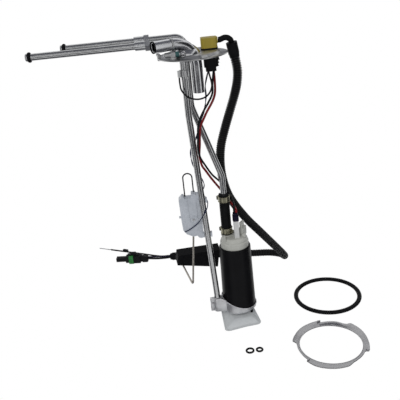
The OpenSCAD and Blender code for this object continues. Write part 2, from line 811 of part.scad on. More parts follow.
module upper_hose_clamp() {
  hose_clamp(hose_l - clamp_w - 3);
}

// Outlet cap: skirt over the case, sloping shoulder, hose nipple and the wiring tower
case_in = case_d - 2 * case_wall;
nipple_bore = 5;
tower_x = pump_x + 14.8;
tower_y = pump_y + 1.8;
cap_bearing_d = 12;
commutator_d = 15;
module outlet_cap() {
  color([0.78, 0.77, 0.72]) difference() {
    union() {
      translate([pump_x, pump_y, case_top]) rotate_extrude() polygon([
        [0, 0], [cap_d / 2, 0], [cap_d / 2, 20], [cap_d / 2 - 1.4, 21.4], [cap_d / 2 - 1.4, 24],
        [cap_d / 2 - 5, 28], [cap_d / 2 - 5, 29], [0, 29]
      ]);
      translate([pump_x, pump_y, case_top - 6]) ring(cap_d, case_d + 0.2, 6.01);
      translate([pump_x, pump_y, case_top - 4]) cylinder(d = cap_bearing_d, h = 4.01);
      translate([hose_x, feed_y, cap_top - 1]) cylinder(d = tube_d, h = 24);
      translate([hose_x, feed_y, cap_top - 1]) cylinder(d = hose_d + 3, h = 1.9);
      translate([tower_x, tower_y, cap_top - 1]) rotate([0, 0, -30]) linear_extrude(13) rounded_rect(7, 15, 2);
      translate([tower_x - 1, tower_y, cap_top + 11.9]) rotate([0, 0, -30]) linear_extrude(9) rounded_rect(4, 11, 1.6);
    }
    translate([hose_x, feed_y, cap_top - 12]) cylinder(d = nipple_bore, h = 50);
    translate([pump_x, pump_y, case_top - 5]) cylinder(d = shaft_d + 0.1, h = 9);
    translate([pump_x, pump_y, case_top - 0.01]) difference() {
      cylinder(r = 16, h = 21);
      translate([0, 0, -1]) cylinder(d = cap_bearing_d, h = 23);
    }
  }
}

// White block and boot that take the two power wires
module terminal_block() {
  color([0.86, 0.86, 0.84]) translate([term_x, term_y, cap_top]) difference() {
    linear_extrude(block_h) rounded_rect(8, 9, 1.6);
    translate([0, 0, block_h - 5]) linear_extrude(6) rounded_rect(5.6, 6.6, 1);
  }
}

module terminal_boot() {
  color([0.09, 0.08, 0.15]) translate([term_x, term_y, cap_top + block_h]) {
    linear_extrude(9) rounded_rect(9.6, 10.4, 3);
    translate([0, 0, 9]) linear_extrude(4) rounded_rect(8, 8, 3);
  }
}

module pump_case() {
  color(zinc) translate([pump_x, pump_y, case_bottom]) {
    ring(case_d, case_in, case_l);
    ring(case_in + 0.02, case_in - 3, 1.2);
  }
}

stack_from = case_l - 58;
stack_l = 38;
commutator_from = stack_from + stack_l + 4;
module field_magnets() {
  color([0.20, 0.20, 0.22]) translate([pump_x, pump_y, case_bottom + stack_from - 3])
    for (turn = [0, 180]) rotate([0, 0, turn - 65]) rotate_extrude(angle = 130)
      translate([armature_d / 2 + 0.8, 0]) square([case_in / 2 - armature_d / 2 - 0.9, stack_l + 6]);
}

brush_h = 8;
module brushes() {
  color([0.15, 0.15, 0.15]) translate([pump_x, pump_y, case_bottom + commutator_from + 1])
    for (turn = [0, 180]) rotate([0, 0, turn]) translate([commutator_d / 2 + 0.15, -2.5, 0])
      cube([7, 5, brush_h]);
}

// Armature: shaft, slotted stack and commutator in one turning piece
slots = 8;
module armature() {
  color([0.55, 0.38, 0.24]) translate([pump_x, pump_y, case_bottom]) {
    translate([0, 0, 3]) cylinder(d = shaft_d, h = case_l - 3 + 2);
    translate([0, 0, stack_from]) linear_extrude(stack_l) difference() {
      circle(d = armature_d);
      for (i = [0 : slots - 1]) rotate(360 / slots * i) translate([armature_d / 2 - 1.6, 0]) {
        circle(d = 3.2, $fn = 24);
        translate([0, -0.7]) square([3, 1.4]);
      }
    }
    translate([0, 0, commutator_from]) cylinder(d = commutator_d, h = brush_h + 2);
  }
}

// Impeller with blades round both edges of its rim
impeller_from = 7;
impeller_t = 4;
module impeller() {
  disc_d = case_in - 6;
  color([0.16, 0.16, 0.17]) translate([pump_x, pump_y, case_bottom + impeller_from]) linear_extrude(impeller_t)
    difference() {
      union() {
        circle(d = disc_d - 5);
        for (i = [0 : impeller_blades - 1]) rotate(360 / impeller_blades * i) translate([disc_d / 2 - 4, -0.6])
          square([4, 1.2]);
      }
      circle(d = shaft_d);
    }
}

// Inlet base: chamber floor with the strainer nipple, and the plate over the impeller
module pump_inlet() {
  color([0.24, 0.24, 0.25]) translate([pump_x, pump_y, case_bottom]) {
    difference() {
      union() {
        translate([0, 0, 1.2]) cylinder(d = case_in - 0.1, h = impeller_from - 1.4);
        translate([0, 0, -26]) cylinder(d = 12, h = 27.3);
        ring(case_in - 3.1, 10, 1.3);
        translate([0, 0, impeller_from - 0.3]) ring(case_in - 0.1, case_in - 4, impeller_t + 0.8);
      }
      translate([0, 0, -27]) cylinder(d = 6, h = 27.5);
      translate([0, 0, 2.9]) cylinder(d = shaft_d + 0.1, h = 10);
      translate([12, 0, 3]) cylinder(d = 4, h = 10);
      translate([0, -2, 0.4]) cube([13, 4, 2.4]);
    }
    translate([0, 0, impeller_from + impeller_t + 0.5]) ring(case_in - 0.1, shaft_d + 0.1, 6);
  }
}

// Rubber sleeve round the pump, wider towards its foot
module isolator_sleeve() {
  foot_r = sleeve_d / 2 + sleeve_flare;
  neck_r = cap_d / 2 + seat_gap;
  step_z = sleeve_l - (sleeve_top - case_top) - 6.3;
  color(rubber) translate([pump_x, pump_y, sleeve_bottom]) rotate_extrude() polygon([
    [16, 0], [foot_r - 1, 0], [foot_r, 1], [foot_r, 7], [sleeve_d / 2, sleeve_l - 2],
    [sleeve_d / 2 - 1, sleeve_l], [neck_r, sleeve_l], [neck_r, step_z],
    [case_d / 2 + seat_gap / 2, step_z], [case_d / 2 + seat_gap / 2, 13.8], [16, 13.8]
  ]);
}

// Bracket: strap folded round the return tube and the cup that holds the pump
cup_r = sleeve_d / 2 + sleeve_flare + seat_gap;
cup_low = 3;
cup_rise = 11.5;
clamp_h = 24;
strap_t = 1.4;
module pump_bracket() {
  strap_r = tube_d / 2 + fit_gap;
  color([0.76, 0.77, 0.78]) {
    difference() {
      union() {
        translate([pump_x, pump_y, cup_floor]) ring(2 * cup_r + 2 * cup_wall, 2 * cup_r, cup_wall + cup_rise);
        translate([pump_x, pump_y, cup_floor]) ring(2 * cup_r + 0.02, 28, cup_wall);
      }
      translate([pump_x - cup_r, pump_y - 60, cup_floor + cup_wall + cup_rise])
        rotate([0, atan((cup_rise - cup_low) / (2 * cup_r)), 0]) translate([-30, 0, 0]) cube([140, 120, 60]);
    }
    translate([0, 0, tube_end_z - 6]) linear_extrude(clamp_h) difference() {
      union() {
        translate([clamp_x, return_y]) circle(strap_r + strap_t);
        translate([clamp_x - strap_r - 6, return_y - 2.9]) square([7, 5.8]);
        translate([clamp_x, return_y + strap_r - 0.1]) square([pump_x - cup_r - clamp_x + 0.5, strap_t]);
        translate([clamp_x, return_y - strap_r - strap_t + 0.1]) square([pump_x - cup_r - clamp_x + 5, strap_t]);
      }
      translate([clamp_x, return_y]) circle(strap_r);
      translate([clamp_x - strap_r - 6.1, return_y - 0.2]) square([6, 0.4]);
    }
  }
}

// Woven strainer: a flat pouch with a welded hem, held on the pump's inlet
sock_turn = 9;
sock_top = cup_floor - 8;
sock_t = 16;
neck_h = 8;
sock_x = pump_x;
sock_y = pump_y - 12;
module at_sock() translate([sock_x, sock_y, sock_top]) rotate([0, 0, sock_turn]) children();

module strainer_sock() {
  color([0.80, 0.81, 0.80]) difference() {
    at_sock() union() {
      translate([0, 0, -sock_t]) linear_extrude(sock_t) rounded_rect(sock_l - 9, sock_w - 9, 8);
      translate([0, 0, -sock_t / 2 - 0.8]) linear_extrude(1.6) rounded_rect(sock_l, sock_w, 8);
    }
    translate([pump_x, pump_y, sock_top - 7]) cylinder(d = 15.4, h = 10);
  }
}

module strainer_neck() {
  color([0.10, 0.10, 0.11]) translate([pump_x, pump_y, sock_top - 6.6]) {
    ring(15, 12.1, neck_h + 6);
    translate([0, 0, 6.7]) ring(24, 14.9, 1.4);
  }
  color([0.10, 0.10, 0.11]) translate([pump_x + 16, pump_y - 17, sock_top + 0.3]) cube([4, 2, 7.4]);
}

// Seal ring for the tank opening, lying beside the hanger
seal_x = 195;
seal_y = 55;
module tank_seal_ring() {
  color(rubber) translate([seal_x, seal_y, floor_z + seal_section / 2]) rotate_extrude($fn = 72)
    translate([seal_id / 2 + seal_section / 2, 0]) circle(d = seal_section, $fn = 24);
}

// Lock ring: a thin band with three ramped cams that turn under the tank's hooks
lock_x = 168.5;
lock_y = -80;
lock_t = 1.8;
// Each cam: angle where it starts, angle it covers, reach at its start and at its end
cam_reach = (lock_od - lock_id) / 2 - 0.3;
cams = [[100, 88, 3.2, cam_reach], [70, -84, 3.2, cam_reach], [298, -66, 3.2, cam_reach - 1.7]];
module cam(from, span, first_reach, last_reach) {
  band_r = lock_id / 2 + 1.4;
  steps = 14;
  linear_extrude(lock_t) polygon(concat(
    [for (k = [0 : steps]) let (a = from + span * k / steps) band_r * [cos(a), sin(a)]],
    [for (k = [steps : -1 : 0])
      let (a = from + span * k / steps, r = lock_id / 2 + first_reach
        + (last_reach - first_reach) * sin(90 * k / steps))
      r * [cos(a), sin(a)]]
  ));
}

module cam_stop(a, reach, height) {
  rotate([0, 0, a]) translate([lock_id / 2 + 2, -1.2, 0]) cube([reach - 2.6, 2.4, height]);
}

module lock_ring() {
  color([0.56, 0.56, 0.57]) translate([lock_x, lock_y, floor_z]) {
    ring(lock_id + 7, lock_id, lock_t);
    ring(lock_id + 2.4, lock_id, lock_t + 1.6);
    for (c = cams) cam(c[0], c[1], c[2], c[3]);
    cam_stop(104, 6.5, 6);
    cam_stop(-11, cam_reach - 0.3, 4.6);
    cam_stop(236, cam_reach - 2.1, 4);
  }
}

// Two spare rings for the tube tips
module tip_seal_spares() {
  color(rubber) for (at = [[42.5, -78, 5.6], [57.5, -78, 4.6]]) translate([at[0], at[1], floor_z + 1.2])
    rotate_extrude() translate([at[2], 0]) circle(1.2, $fn = 20);
}

flange_plate();
pipe_dome();
locating_lugs();
vent_pipe();
vent_port_lip();
vent_pipe_band();
feed_tube();
return_tube();
feed_tube_nut();
return_tube_nut();
feed_tip_seal();
return_tip_seal();
vapour_nipple();
nipple_seal();
nipple_cap();
harness_plug();
plug_seal();
bulkhead_terminal();
terminal_comb();
plug_cable();
loom_collar();
harness_loom();
loom_end_tape();
harness_leads();
harness_connector();
connector_seal();
connector_clip();
ground_lead();
ground_lead_tip();
power_wires();
ground_wire();
sender_wire();
ground_clip();
sender_housing();
sender_cover();
resistor_card();
pivot_pin();
wiper();
sender_bail();
float_arm();
float_block();
feed_hose();
upper_hose_clamp();
lower_hose_clamp();
terminal_block();
terminal_boot();
outlet_cap();
pump_case();
field_magnets();
brushes();
armature();
impeller();
pump_inlet();
isolator_sleeve();
pump_bracket();
strainer_sock();
strainer_neck();
tank_seal_ring();
lock_ring();
tip_seal_spares();
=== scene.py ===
"""Looks of the in-tank fuel pump: camera, cords, detailed pieces, finishes and light."""

import math

import bmesh
import bpy
from mathutils import Matrix, Vector


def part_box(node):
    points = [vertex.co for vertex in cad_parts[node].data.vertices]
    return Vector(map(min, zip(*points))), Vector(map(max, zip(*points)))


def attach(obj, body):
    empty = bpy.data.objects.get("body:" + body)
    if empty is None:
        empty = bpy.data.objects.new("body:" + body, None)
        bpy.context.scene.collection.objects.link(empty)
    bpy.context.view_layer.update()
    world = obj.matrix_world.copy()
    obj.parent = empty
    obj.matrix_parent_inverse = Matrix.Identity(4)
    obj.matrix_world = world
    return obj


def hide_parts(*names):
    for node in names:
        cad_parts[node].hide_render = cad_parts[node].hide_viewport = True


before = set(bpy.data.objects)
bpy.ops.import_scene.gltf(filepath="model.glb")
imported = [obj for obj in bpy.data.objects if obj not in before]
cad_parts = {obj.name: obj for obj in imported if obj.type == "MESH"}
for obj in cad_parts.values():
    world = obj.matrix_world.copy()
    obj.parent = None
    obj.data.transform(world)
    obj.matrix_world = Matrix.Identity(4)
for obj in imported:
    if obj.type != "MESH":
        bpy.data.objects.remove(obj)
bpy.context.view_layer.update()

MM = 0.001
scene = bpy.context.scene
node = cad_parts


# ---------------------------------------------------------------- camera
CAMERA_AT = Vector((-10.7, -850, 135)) * MM
CAMERA_PITCH = math.radians(22.6)
CAMERA_ROLL = math.radians(6)


def place_camera():
    """The photograph's view: from the front, looking down, and turned a little in the picture."""
    data = bpy.data.cameras.new("photo_camera")
    data.lens, data.sensor_width = 54, 36
    data.clip_start, data.clip_end = 0.05, 20
    camera = bpy.data.objects.new("photo_camera", data)
    scene.collection.objects.link(camera)
    forward = Vector((0, math.cos(CAMERA_PITCH), -math.sin(CAMERA_PITCH)))
    level = Vector((1, 0, 0))
    up = level.cross(forward)
    right = level * math.cos(CAMERA_ROLL) - up * math.sin(CAMERA_ROLL)
    top = level * math.sin(CAMERA_ROLL) + up * math.cos(CAMERA_ROLL)
    turn = Matrix((right, top, -forward)).transposed().to_4x4()
    camera.matrix_world = Matrix.Translation(CAMERA_AT) @ turn
    scene.camera = camera


place_camera()


# ---------------------------------------------------------------- cords
def smooth(route, steps):
    """A curve through the points of a route, given in millimetres; the points come back in metres."""
    points = [Vector(p) * MM for p in route]
    curve = []
    for i in range(len(points) - 1):
        a, b, c, d = (points[min(max(i + k, 0), len(points) - 1)] for k in (-1, 0, 1, 2))
        square, cube = 2 * a - 5 * b + 4 * c - d, 3 * b - a - 3 * c + d
        for k in range(steps):
            s = k / steps
            curve.append(0.5 * (2 * b + (c - a) * s + square * s * s + cube * s**3))
    return curve + [points[-1]]


def resampled(points, step):
    """The same line with its points an even distance apart."""
    lengths = [0.0]
    for a, b in zip(points, points[1:]):
        lengths.append(lengths[-1] + (b - a).length)
    count = max(2, round(lengths[-1] / step))
    out, j = [], 0
    for i in range(count + 1):
        want = lengths[-1] * i / count
        while j < len(points) - 2 and lengths[j + 1] < want:
            j += 1
        share = (want - lengths[j]) / max(lengths[j + 1] - lengths[j], 1e-9)
        out.append(points[j].lerp(points[j + 1], min(max(share, 0), 1)))
    return out


def carried_frames(points):
    """For each point, two directions across the line that turn as little as possible."""
    frames, across = [], None
    for i in range(len(points)):
        heading = (points[min(i + 1, len(points) - 1)] - points[max(i - 1, 0)]).normalized()
        if across is None:
            across = heading.cross(Vector((0, 1, 0)) if abs(heading.y) < 0.8 else Vector((1, 0, 0)))
        across = (across - heading * across.dot(heading)).normalized()
        frames.append((across, heading.cross(across)))
    return frames


def only(kind, geometry):
    """The elements of one kind out of what a mesh operator gives back."""
    return [g for g in geometry if isinstance(g, kind)]


def add_piece(name, bm, body="root", smooth_faces=True):
    """Turns a finished bmesh into a piece that rides on a body."""
    mesh = bpy.data.meshes.new(name)
    bm.normal_update()
    bm.to_mesh(mesh)
    bm.free()
    for face in mesh.polygons:
        face.use_smooth = smooth_faces
    piece = bpy.data.objects.new(name, mesh)
    scene.collection.objects.link(piece)
    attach(piece, body)
    return piece


def tube_along(name, points, radii, sides=12):
    """A closed tube along points, with one radius for all of it or one for each point."""
    bm = bmesh.new()
    if not hasattr(radii, "__len__"):
        radii = [radii] * len(points)
    rings = []
    for p, r, (u, v) in zip(points, radii, carried_frames(points)):
        turns = [2 * math.pi * k / sides for k in range(sides)]
        rings.append([bm.verts.new(p + r * (math.cos(t) * u + math.sin(t) * v)) for t in turns])
    for low, high in zip(rings, rings[1:]):
        for k in range(sides):
            bm.faces.new((low[k], low[(k + 1) % sides], high[(k + 1) % sides], high[k]))
    bm.faces.new(rings[0][::-1])
    bm.faces.new(rings[-1])
    bmesh.ops.recalc_face_normals(bm, faces=bm.faces)
    return add_piece(name, bm)


cable_route = [
    (37.5, 11, 15.7), (40.5, 11, 15.7), (46.5, 11.8, 17.6), (51.5, 13, 16.8), (54.8, 14.2, 14.4),
    (56, 14.7, 12.6), (56.5, 15, 10.1),
]  # fmt: skip
loom_route = [
    (60, 17, -11), (62, 18, -24), (62.5, 18.6, -34), (60.5, 20, -50), (55, 23, -70), (46, 25, -95),
    (37, 27.5, -121), (30, 29, -145), (27, 30.5, -170), (28, 31.5, -197), (34, 33, -225),
    (45, 38, -250), (63, 50, -282), (84, 71, -316), (105, 101, -353), (124, 138, -390),
    (138, 172, -420), (144, 196, -438), (138, 216, -443), (118, 226, -443.2), (90, 230, -443.2),
    (55, 235, -443.2), (18, 240, -443.2), (-20, 245, -443), (-56, 250, -442),
]  # fmt: skip
leads_route = [
    (-84, 251, -442.6), (-97, 251, -442.6), (-112, 252, -442.2), (-126, 253.6, -441.5),
    (-138, 255, -441),
]  # fmt: skip
ground_route = [
    (-83.6, 256.6, -442.7), (-90, 257.6, -443), (-101, 262, -445), (-117, 272, -447),
    (-140, 285, -447.6), (-166, 298, -447.6), (-190, 310, -447.6), (-214, 322, -447.6),
]  # fmt: skip
# The pump wires change sides at the return tube and pass behind the hose, as in the photograph
red_route = [
    (28.5, 14.5, -14), (28.5, 14.5, -21), (28.3, 12, -28), (28, 5.5, -41), (27, 1, -54),
    (24.6, -1.5, -62), (20, -4, -70), (13, -5.5, -80), (7, -7, -90), (1.5, -8.8, -100),
    (-1, -10.5, -112), (-2.6, -10.8, -128), (-4.6, -10, -143.7), (-2.6, -5.5, -160.9),
    (2.3, 0, -172.1), (10.2, 8, -188.8), (18.2, 16.5, -204.1), (26, 21, -218), (32, 20.5, -229),
    (38.5, 12, -236.5), (42, 3, -238.5), (43, -4, -240.5), (42.8, -6.2, -243.7),
]  # fmt: skip
black_route = [
    (28.5, 7.5, -14), (28.5, 7.5, -21), (27.2, 5.8, -28), (24.3, 1.5, -42), (22.6, -3, -56),
    (16, -6.8, -67), (8, -9.5, -78), (2, -11.5, -88), (-2.5, -14, -100), (-4, -15, -114),
    (-5.6, -15, -130), (-4, -14, -145), (2.1, -7, -160.5), (11.4, 3, -180.5), (20.9, 16.5, -195.9),
    (28.5, 22.5, -208), (36, 19, -221), (40, 10, -230), (40.5, 1, -235), (39.6, -4, -239.5),
    (39.6, -4, -243.7),
]  # fmt: skip
ground_wire_route = [
    (20.5, 7.5, -14), (20.5, 7.5, -21), (20.8, 5.5, -28), (22.5, -4, -37), (22.5, -11.5, -44),
    (18.5, -16, -51.5), (11, -18, -57), (0, -18.5, -58.5), (-12, -17.5, -54.5), (-20, -15.5, -45),
    (-21.6, -12, -36), (-21.6, -9.8, -27.5),
]  # fmt: skip
# The sender's pair bulges out to the right of the return tube before it enters the box
sender_route = [
    (20.5, 14.5, -14), (20.5, 14.5, -21), (19.5, 12.6, -28), (14, 2, -44), (13, -5, -60), (9, -5, -78),
    (2, -5, -95), (-3, -2, -108), (-8, 4, -124), (-16, 8, -138), (-17.5, 8, -152), (-15, 9, -166),
    (-9, 12, -180), (-3.8, 11, -191), (-1.9, 10, -199), (-4.5, 10, -205.5), (-10, 10.5, -208.7),
    (-12, 11, -210.7),
]  # fmt: skip
# A thin blue wire leaves the box, goes round the return tube and crosses the front of the box
crossing_route = [
    (-12, 10, -213.5), (-7.5, 10, -213.6), (-3.3, 8, -216), (-1.0, 3.2, -219.4), (0.6, -1.5, -222.5),
    (0.2, -5, -225.6), (-1.2, -9.2, -229.4), (-4.4, -12.9, -234.1), (-9, -12.6, -240.7),
    (-13, -6.4, -249.2), (-17.5, -1.6, -256.5), (-24.8, -1.1, -262.2), (-31, -1.1, -266),
    (-37.5, -0.9, -269.1), (-39.4, 0.6, -270.2),
]  # fmt: skip

# Distances between the rings of a tube
CABLE_STEP, LOOM_STEP, WIRE_STEP, THIN_WIRE_STEP = 0.7 * MM, 0.85 * MM, 1.5 * MM, 1.2 * MM
# The loom's ridges take two of every four rings; the valleys are shallower on the floor
LOOM_SIDES = 16
RIDGE_R, VALLEY_R, FLOOR_VALLEY_R = 7.0 * MM, 5.0 * MM, 6.4 * MM
FLOOR_RUN_Z = -400 * MM
SENDER_WIRE_R = 0.6 * MM
TWIST_PER_RING = 0.16

cable_line = resampled(smooth(cable_route, 10), CABLE_STEP)
cable = tube_along("plug_cable_jacket", cable_line, radii=4 * MM, sides=20)
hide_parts("plug_cable")

loom_line = resampled(smooth(loom_route, 8), LOOM_STEP)
on_ridge = [i % 4 in (0, 1) for i in range(len(loom_line))]
loom_radii = [
    RIDGE_R if raised else VALLEY_R if p.z > FLOOR_RUN_Z else FLOOR_VALLEY_R
    for p, raised in zip(loom_line, on_ridge)
]
loom = tube_along("corrugated_loom", loom_line, radii=loom_radii, sides=LOOM_SIDES)
# The ridge attribute marks the ridge rings; the loom's material uses it to paint shade into the valley
# rings
ridges = loom.data.attributes.new("ridge", "FLOAT", "POINT")
ridges.data.foreach_set("value", [float(raised) for raised in on_ridge for k in range(LOOM_SIDES)])
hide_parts("harness_loom")

lead_line = resampled(smooth(leads_route, 8), WIRE_STEP)
leads = []
for number, (side, lift) in enumerate([(-2.3, -0.6), (0.1, 1.3), (2.3, -0.7)]):
    shifted = []
    for i, (p, (u, v)) in enumerate(zip(lead_line, carried_frames(lead_line))):
        spread = 0.7 + 0.35 * math.sin(math.pi * i / (len(lead_line) - 1))
        shifted.append(p + MM * (side * spread * u + lift * spread * v))
    leads.append((tube_along(f"connector_lead_{number}", shifted, radii=1.5 * MM, sides=12), shifted))
    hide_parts("harness_leads")

ground_line = resampled(smooth(ground_route, 8), WIRE_STEP)
ground = tube_along("loose_ground_lead", ground_line, radii=1.6 * MM, sides=12)
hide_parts("ground_lead")

red_line = resampled(smooth(red_route, 6), WIRE_STEP)
red_wire = tube_along("red_pump_wire", red_line, radii=1.7 * MM, sides=12)
black_line = resampled(smooth(black_route, 6), WIRE_STEP)
black_wire = tube_along("black_pump_wire", black_line, radii=1.5 * MM, sides=12)
for wire in (red_wire, black_wire):
    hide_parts("power_wires")
clip_line = resampled(smooth(ground_wire_route, 6), WIRE_STEP)
clip_wire = tube_along("tube_ground_wire", clip_line, radii=1.25 * MM, sides=10)
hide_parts("ground_wire")

sender_line = resampled(smooth(sender_route, 6), THIN_WIRE_STEP)
sender_wires = []
for number in range(2):
    twisted = []
    for i, (p, (u, v)) in enumerate(zip(sender_line, carried_frames(sender_line))):
        turn = i * TWIST_PER_RING + math.pi * number
        twisted.append(p + SENDER_WIRE_R * (math.cos(turn) * u + math.sin(turn) * v))
    wire = tube_along(f"sender_signal_wire_{number}", twisted, radii=SENDER_WIRE_R, sides=8)
    sender_wires.append(wire)
    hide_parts("sender_wire")

crossing_line = resampled(smooth(crossing_route, 6), THIN_WIRE_STEP)
crossing_wire = tube_along("crossing_blue_wire", crossing_line, radii=0.75 * MM, sides=10)


# ---------------------------------------------------------------- shared surface effects
def new_group(name, inputs, outputs):
    """An empty node group with those inputs and outputs, and its two ends."""
    group = bpy.data.node_groups.new(name, "ShaderNodeTree")
    for label, kind, value in inputs:
        made = group.interface.new_socket(label, in_out="INPUT", socket_type=kind)
        if value is not None:
            made.default_value = value
    for label, kind in outputs:
        group.interface.new_socket(label, in_out="OUTPUT", socket_type=kind)
    return group, group.nodes.new("NodeGroupInput"), group.nodes.new("NodeGroupOutput")


def cloud_group():
    """Soft patches over coarse and fine noise, from 0 to 1."""
    group, start, end = new_group(
        "soft_patches",
        [("Vector", "NodeSocketVector", None), ("Scale", "NodeSocketFloat", 60.0)],
        [("Value", "NodeSocketFloat")],
    )
    wire = group.links.new
    coarse = group.nodes.new("ShaderNodeTexNoise")
    coarse.inputs["Detail"].default_value = 5
    fine = group.nodes.new("ShaderNodeTexNoise")
    fine.inputs["Detail"].default_value = 3
    times = group.nodes.new("ShaderNodeMath")
    times.operation = "MULTIPLY"
    times.inputs[1].default_value = 7.3
    wire(start.outputs["Vector"], coarse.inputs["Vector"])
    wire(start.outputs["Vector"], fine.inputs["Vector"])
    wire(start.outputs["Scale"], coarse.inputs["Scale"])
    wire(start.outputs["Scale"], times.inputs[0])
    wire(times.outputs[0], fine.inputs["Scale"])
    blend = group.nodes.new("ShaderNodeMix")
    blend.inputs["Factor"].default_value = 0.35
    wire(coarse.outputs["Fac"], blend.inputs["A"])
    wire(fine.outputs["Fac"], blend.inputs["B"])
    spread = group.nodes.new("ShaderNodeMapRange")
    spread.inputs["From Min"].default_value = 0.3
    spread.inputs["From Max"].default_value = 0.7
    wire(blend.outputs["Result"], spread.inputs["Value"])
    wire(spread.outputs["Result"], end.inputs["Value"])
    return group


def grain_group():
    """A fine uneven surface as a normal."""
    group, start, end = new_group(
        "fine_grain",
        [
            ("Vector", "NodeSocketVector", None),
            ("Scale", "NodeSocketFloat", 900.0),
            ("Strength", "NodeSocketFloat", 0.2),
            ("Depth", "NodeSocketFloat", 0.0002),
        ],
        [("Normal", "NodeSocketVector")],
    )
    wire = group.links.new
    noise = group.nodes.new("ShaderNodeTexNoise")
    noise.inputs["Detail"].default_value = 4
    bump = group.nodes.new("ShaderNodeBump")
    wire(start.outputs["Vector"], noise.inputs["Vector"])
    wire(start.outputs["Scale"], noise.inputs["Scale"])
    wire(noise.outputs["Fac"], bump.inputs["Height"])
    wire(start.outputs["Strength"], bump.inputs["Strength"])
    wire(start.outputs["Depth"], bump.inputs["Distance"])
    wire(bump.outputs["Normal"], end.inputs["Normal"])
    return group


soft_patches = cloud_group()
fine_grain = grain_group()


def finish(
    name, dark, light, rough, metallic=0.0, patch=60, grain=900, strength=0.2, stretch=(1, 1, 1),
    specular=0.5,
):  # fmt: skip
    """A finish between two tones and two roughnesses, with soft patches and a fine grain."""
    material = bpy.data.materials.new(name)
    material.use_nodes = True
    tree = material.node_tree
    tree.nodes.clear()
    wire = tree.links.new
    shader = tree.nodes.new("ShaderNodeBsdfPrincipled")
    shader.inputs["Metallic"].default_value = metallic
    shader.inputs["Specular IOR Level"].default_value = specular
    end = tree.nodes.new("ShaderNodeOutputMaterial")
    wire(shader.outputs["BSDF"], end.inputs["Surface"])
    coords = tree.nodes.new("ShaderNodeTexCoord")
    mapping = tree.nodes.new("ShaderNodeMapping")
    mapping.inputs["Scale"].default_value = stretch
    wire(coords.outputs["Object"], mapping.inputs["Vector"])
    patches = tree.nodes.new("ShaderNodeGroup")
    patches.node_tree = soft_patches
    patches.inputs["Scale"].default_value = patch
    wire(mapping.outputs["Vector"], patches.inputs["Vector"])
    tones = tree.nodes.new("ShaderNodeMix")
    tones.data_type = "RGBA"
    tones.inputs["A"].default_value = (*dark, 1)
    tones.inputs["B"].default_value = (*light, 1)
    wire(patches.outputs["Value"], tones.inputs["Factor"])
    wire(tones.outputs["Result"], shader.inputs["Base Color"])
    gloss = tree.nodes.new("ShaderNodeMapRange")
    gloss.inputs["To Min"].default_value = rough[0]
    gloss.inputs["To Max"].default_value = rough[1]
    wire(patches.outputs["Value"], gloss.inputs["Value"])
    wire(gloss.outputs["Result"], shader.inputs["Roughness"])
    surface = tree.nodes.new("ShaderNodeGroup")
    surface.node_tree = fine_grain
    surface.inputs["Scale"].default_value = grain
    surface.inputs["Strength"].default_value = strength
    wire(mapping.outputs["Vector"], surface.inputs["Vector"])
    wire(surface.outputs["Normal"], shader.inputs["Normal"])
    return material


def paint_valley_shade(material, valley_shade):
    """Paints shade into the valleys between a piece's ridges, as a darker colour chosen by its ridge
    attribute.
    """
    tree = material.node_tree
    shader = next(n for n in tree.nodes if n.type == "BSDF_PRINCIPLED")
    colour = shader.inputs["Base Color"].links[0].from_socket
    ridge = tree.nodes.new("ShaderNodeAttribute")
    ridge.attribute_name = "ridge"
    tones = tree.nodes.new("ShaderNodeMix")
    tones.data_type = "RGBA"
    tones.inputs["A"].default_value = (*valley_shade, 1)
    tree.links.new(colour, tones.inputs["B"])
    tree.links.new(ridge.outputs["Fac"], tones.inputs["Factor"])
    tree.links.new(tones.outputs["Result"], shader.inputs["Base Color"])


zinc = finish(
    "zinc_plate", (0.38, 0.385, 0.39), (0.52, 0.525, 0.53), (0.28, 0.42),
    metallic=1.0, patch=45, grain=700, strength=0.07,
)  # fmt: skip
chrome = finish(
    "bright_plate", (0.46, 0.46, 0.47), (0.60, 0.61, 0.63), (0.14, 0.24),
    metallic=1.0, patch=35, grain=260, strength=0.06,
)  # fmt: skip
tube_steel = finish(
    "plated_tube", (0.40, 0.405, 0.41), (0.50, 0.505, 0.51), (0.18, 0.25),
    metallic=1.0, patch=30, grain=300, strength=0.004,
)  # fmt: skip
bracket_plate = finish(
    "bracket_plate", (0.74, 0.75, 0.77), (0.88, 0.88, 0.89), (0.40, 0.56),
    metallic=1.0, patch=70, grain=600, strength=0.08,
)  # fmt: skip
ring_steel = finish(
    "lock_ring_plate", (0.36, 0.36, 0.37), (0.46, 0.46, 0.47), (0.32, 0.46),
    metallic=1.0, patch=50, grain=500, strength=0.06,
)  # fmt: skip
nut_plate = finish(
    "nut_plate", (0.50, 0.51, 0.52), (0.66, 0.67, 0.68), (0.24, 0.38),
    metallic=1.0, patch=60, grain=600, strength=0.05,
)  # fmt: skip
rod_steel = finish(
    "bare_rod", (0.30, 0.28, 0.25), (0.42, 0.39, 0.35), (0.30, 0.42),
    metallic=1.0, patch=60, grain=700, strength=0.10,
)  # fmt: skip
bright_strands = finish(
    "bare_strands", (0.55, 0.56, 0.58), (0.75, 0.76, 0.78), (0.22, 0.34),
    metallic=1.0, patch=200, grain=1400, strength=0.4,
)  # fmt: skip
clamp_gold = finish(
    "passivated_band", (0.25, 0.24, 0.17), (0.40, 0.38, 0.28), (0.25, 0.40),
    metallic=1.0, patch=90, grain=700, strength=0.10,
)  # fmt: skip
bronze = finish(
    "bare_bronze", (0.50, 0.36, 0.16), (0.66, 0.48, 0.24), (0.25, 0.38),
    metallic=1.0, patch=80, grain=700, strength=0.10,
)  # fmt: skip
rubber = finish(
    "satin_rubber", (0.003, 0.003, 0.0035), (0.008, 0.008, 0.009), (0.40, 0.56),
    patch=80, grain=1100, strength=0.25, specular=0.07,
)  # fmt: skip
sleeve_rubber = finish(
    "sleeve_rubber", (0.003, 0.003, 0.0035), (0.006, 0.006, 0.007), (0.30, 0.42),
    patch=50, grain=900, strength=0.10, specular=0.09,
)  # fmt: skip
